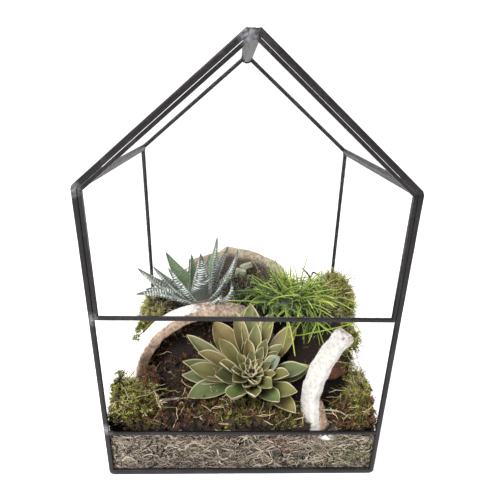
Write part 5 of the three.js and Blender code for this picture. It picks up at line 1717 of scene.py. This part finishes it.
def tuft_routes(rng, middle, half_sizes, count, longest, lifts, steps):
    """Strands with roots anywhere in an ellipse and headings all round, so that they cross each other.
    A tuft that may hang, with its lowest lift below 0, heads forwards."""
    bearing = rng.uniform(0, 2 * np.pi, count)
    ring = np.sqrt(rng.random(count))
    root = np.array(middle, float) + np.stack([
        np.cos(bearing) * half_sizes[0] * ring, np.sin(bearing) * half_sizes[1] * ring, 0 * ring], -1)
    length = longest * rng.uniform(0.5, 1.05, count)
    heading = rng.uniform(0, 2 * np.pi, count)
    if lifts[0] < 0:
        heading = rng.uniform(-2.4, -0.7, count)
    droop = length * rng.uniform(0.15, 0.75, count)
    swing = length * rng.normal(size=count) * 0.33
    return arched(root, heading, length, rng.uniform(*lifts, count), droop, swing, steps)


HANGING_STRANDS = [
    [(34, -26, 108), (30, -50, 120), (30.5, -60, 112), (28.1, -62, 95)],
    [(36, -26, 108), (31, -52, 117), (34, -61, 106), (37.3, -63, 88.7)],
    [(44, -20, 104), (38, -38, 92), (49.9, -56, 104.2), (78.4, -58, 113.4)],
    [(50, -20, 106), (56, -44, 106), (70, -57, 100), (79.2, -62, 90.9)],
    [(46, -22, 106), (44, -42, 110), (40, -52, 108), (33, -56, 100)],
    [(60, -18, 104), (66, -40, 106), (80, -56, 112), (86, -60, 106)],
    [(56, -20, 106), (56, -36, 108), (58, -46, 99), (62, -50, 88)],
    [(62, -18, 106), (60, -34, 108), (54, -44, 100), (50, -47, 90)],
]


def needle_parts():
    """The model's seventy blades, the finer tufts between them and the strands that hang forwards."""
    rng = np.random.default_rng(171)
    model = blade_routes(MODEL_BLADES, model_draws(31, MODEL_BLADES * 4), 12)
    shade = np.clip((model[:, 0, 0] - 12) / 46, 0, 1)
    hue = np.clip(mix(0.15, 0.75, shade) + rng.normal(size=MODEL_BLADES) * 0.16, 0, 1)
    bundles = [(model, BLADE_RADIUS, hue)]
    for middle, half_sizes, count, longest, lifts, hues in TUFTS:
        routes = tuft_routes(rng, middle, half_sizes, count, longest, lifts, 9)
        bundles.append((routes, TUFT_RADIUS, rng.uniform(*hues, count)))
    hanging = np.stack([smooth_route(points, 16) for points in HANGING_STRANDS])
    bundles.append((hanging, HANGING_RADIUS, rng.uniform(0.5, 0.9, len(hanging))))
    parts = []
    for routes, radius, hue in bundles:
        count, stations = routes.shape[:2]
        width = radius * np.linspace(1, 0.45, stations)[None] * rng.uniform(0.75, 1.15, (count, 1))
        tip = np.broadcast_to(np.linspace(0, 1, stations), (count, stations))
        parts.append(tubes(routes, width, 4, hue=hue, tip=tip))
    return parts


def needle_finish():
    """Dark green to pale yellow along the attribute hue, with painted shade towards the base of each
    strand and painted light towards its tip, by the attribute tip.
    """
    material, tree, bsdf = new_material("needle_leaf")
    mask, fine = mottle(tree, place_output(tree), 90.0, 900.0)
    colour = ramp(tree, attribute(tree, "hue"), [
        (0, 44, 58, 34), (0.3, 84, 106, 44), (0.55, 126, 152, 50), (0.78, 168, 186, 74), (1, 200, 192, 98)])
    # Painted shade and light: 0.36 of the colour at a strand's base, 1.2 times it at the tip.
    colour = shaded(tree, colour, map_range(tree, attribute(tree, "tip"), 0, 1, 0.36, 1.2))
    colour = shaded(tree, colour, map_range(tree, mask, 0, 1, 0.85, 1.1))
    set_sockets(tree, bsdf, Base_Color=colour, Roughness=0.42, Normal=bump(tree, fine, 0.12, 0.0004))
    return material


def needle_cushion():
    """The low cushion that the strands stand in."""
    points, quads, triangles, _ = solder_blob((42, -6, 103), CUSHION_HALF_SIZES, 173, (60, 24))
    points = points + unit(points - NEEDLE_CENTRE) * (1.4 * cloudy(points, 7, 174))[:, None]
    points[:, 2] = np.maximum(points[:, 2], CUSHION_FLOOR)
    hue = np.clip(0.1 + 0.15 * cloudy(points, 9, 175), 0, 1)
    # A tip of 0.1 gives the cushion the painted shade of the strand bases.
    return points, quads, triangles, {"hue": hue, "tip": np.full(len(points), 0.1)}


NEEDLE = needle_finish()
needles = inside_glass([*needle_parts(), needle_cushion()])
make_piece("needle_strands", needles, NEEDLE, ["needle_plant"])

# %% [markdown]
# A few dry stems lie on the moss and against the pots: twigs with bark, a cream
# sprig and two grass stems. Each is a round tube along a few points, with a radius
# at each of them, and noise makes its bark a little uneven.

# %% Dry stems
def bark_finish(name, *colours):
    """Three colours, dark to pale, by the mottle mask."""
    material, tree, bsdf = new_material(name)
    mask, fine = mottle(tree, place_output(tree), 150.0, 900.0)
    colour = ramp(tree, mask, [(0.5 * k, *colour) for k, colour in enumerate(colours)])
    set_sockets(tree, bsdf, Base_Color=colour, Roughness=0.85, Normal=bump(tree, fine, 0.5, 0.0006))
    return material


GREY_BARK = bark_finish("grey_bark", (70, 62, 54), (120, 110, 96), (164, 156, 140))
CREAM_BARK = bark_finish("cream_bark", (150, 130, 96), (206, 190, 150), (230, 220, 190))
TAN_BARK = bark_finish("tan_bark", (112, 84, 54), (160, 128, 88), (196, 170, 126))
PALE_GRASS = bark_finish("pale_grass", (110, 114, 84), (146, 148, 116), (176, 174, 140))
BROWN_BARK = bark_finish("brown_bark", (44, 32, 24), (86, 62, 42), (128, 98, 68))


def sprig_leaves(centre, count, length, seed):
    """Thin pointed leaves that spread like a star from the end of a stalk: routes for dry_stem."""
    rng = np.random.default_rng(seed)
    centre = np.array(centre, float)
    leaves = []
    for way in unit(rng.normal(size=(count, 3)) * [1, 0.5, 1]):
        reach = length * rng.uniform(0.7, 1.1)
        middle, tip = centre + way * reach * 0.55, centre + way * reach + [0, 0, -0.12 * length]
        leaves.append(([centre, middle, tip], (0.35, 0.6, 0.12)))
    return leaves


STEM_STEPS, STEM_SIDES = 16, 10


def dry_stem(node, finish, *routes):
    """Each route is its points and the radii at them, and noise varies the radius a little."""
    parts = []
    for number, (points, radii) in enumerate(routes):
        route = smooth_route(points, STEM_STEPS)
        width = np.interp(np.linspace(0, 1, STEM_STEPS), np.linspace(0, 1, len(radii)), radii)
        width = width * (1 + 0.16 * cloudy(route, 4, 181 + number))
        parts.append(tubes(route[None], width[None], STEM_SIDES))
    make_piece(f"{node}_bark", inside_glass(parts), finish, [node])


dry_stem(
    "grey_twig", GREY_BARK,
    ([(-80, -66, 47), (-64, -64, 48), (-49, -62, 48.5)], (1.0, 1.2, 1.0)))
dry_stem(
    "cream_sprig", CREAM_BARK,
    ([(-76, -53, 60), (-71, -57, 54), (-67, -62, 50), (-65.5, -66, 46)], (0.4, 0.6, 0.7, 0.6)),
    *sprig_leaves((-65.5, -66, 47), 11, 7.5, 191),
    *sprig_leaves((-76, -54, 60), 7, 6.0, 192))
dry_stem(
    "light_twig", TAN_BARK,
    ([(-26, -83, 48), (-18, -84, 46), (-9, -84, 45.2), (2, -83, 46)], (0.7, 1.2, 1.3, 0.7)))
dry_stem(
    "grass_stem", PALE_GRASS,
    ([(57, -78, 52), (68, -80, 53), (77, -82, 49), (84, -83, 41)], (0.4, 0.55, 0.55, 0.45)))
dry_stem(
    "brown_stem", BROWN_BARK,
    ([(77.6, -74, 71), (76, -74, 58), (74, -73, 39)], (0.6, 0.8, 0.9)))
dry_stem(
    "dark_twig", BROWN_BARK,
    ([(60, 13, 96), (60, 18, 114), (53, 20, 123)], (1.0, 0.9, 0.7)),
    ([(60, 18, 112), (62.7, 20, 119), (68, 21, 116)], (0.9, 0.8, 0.7)))
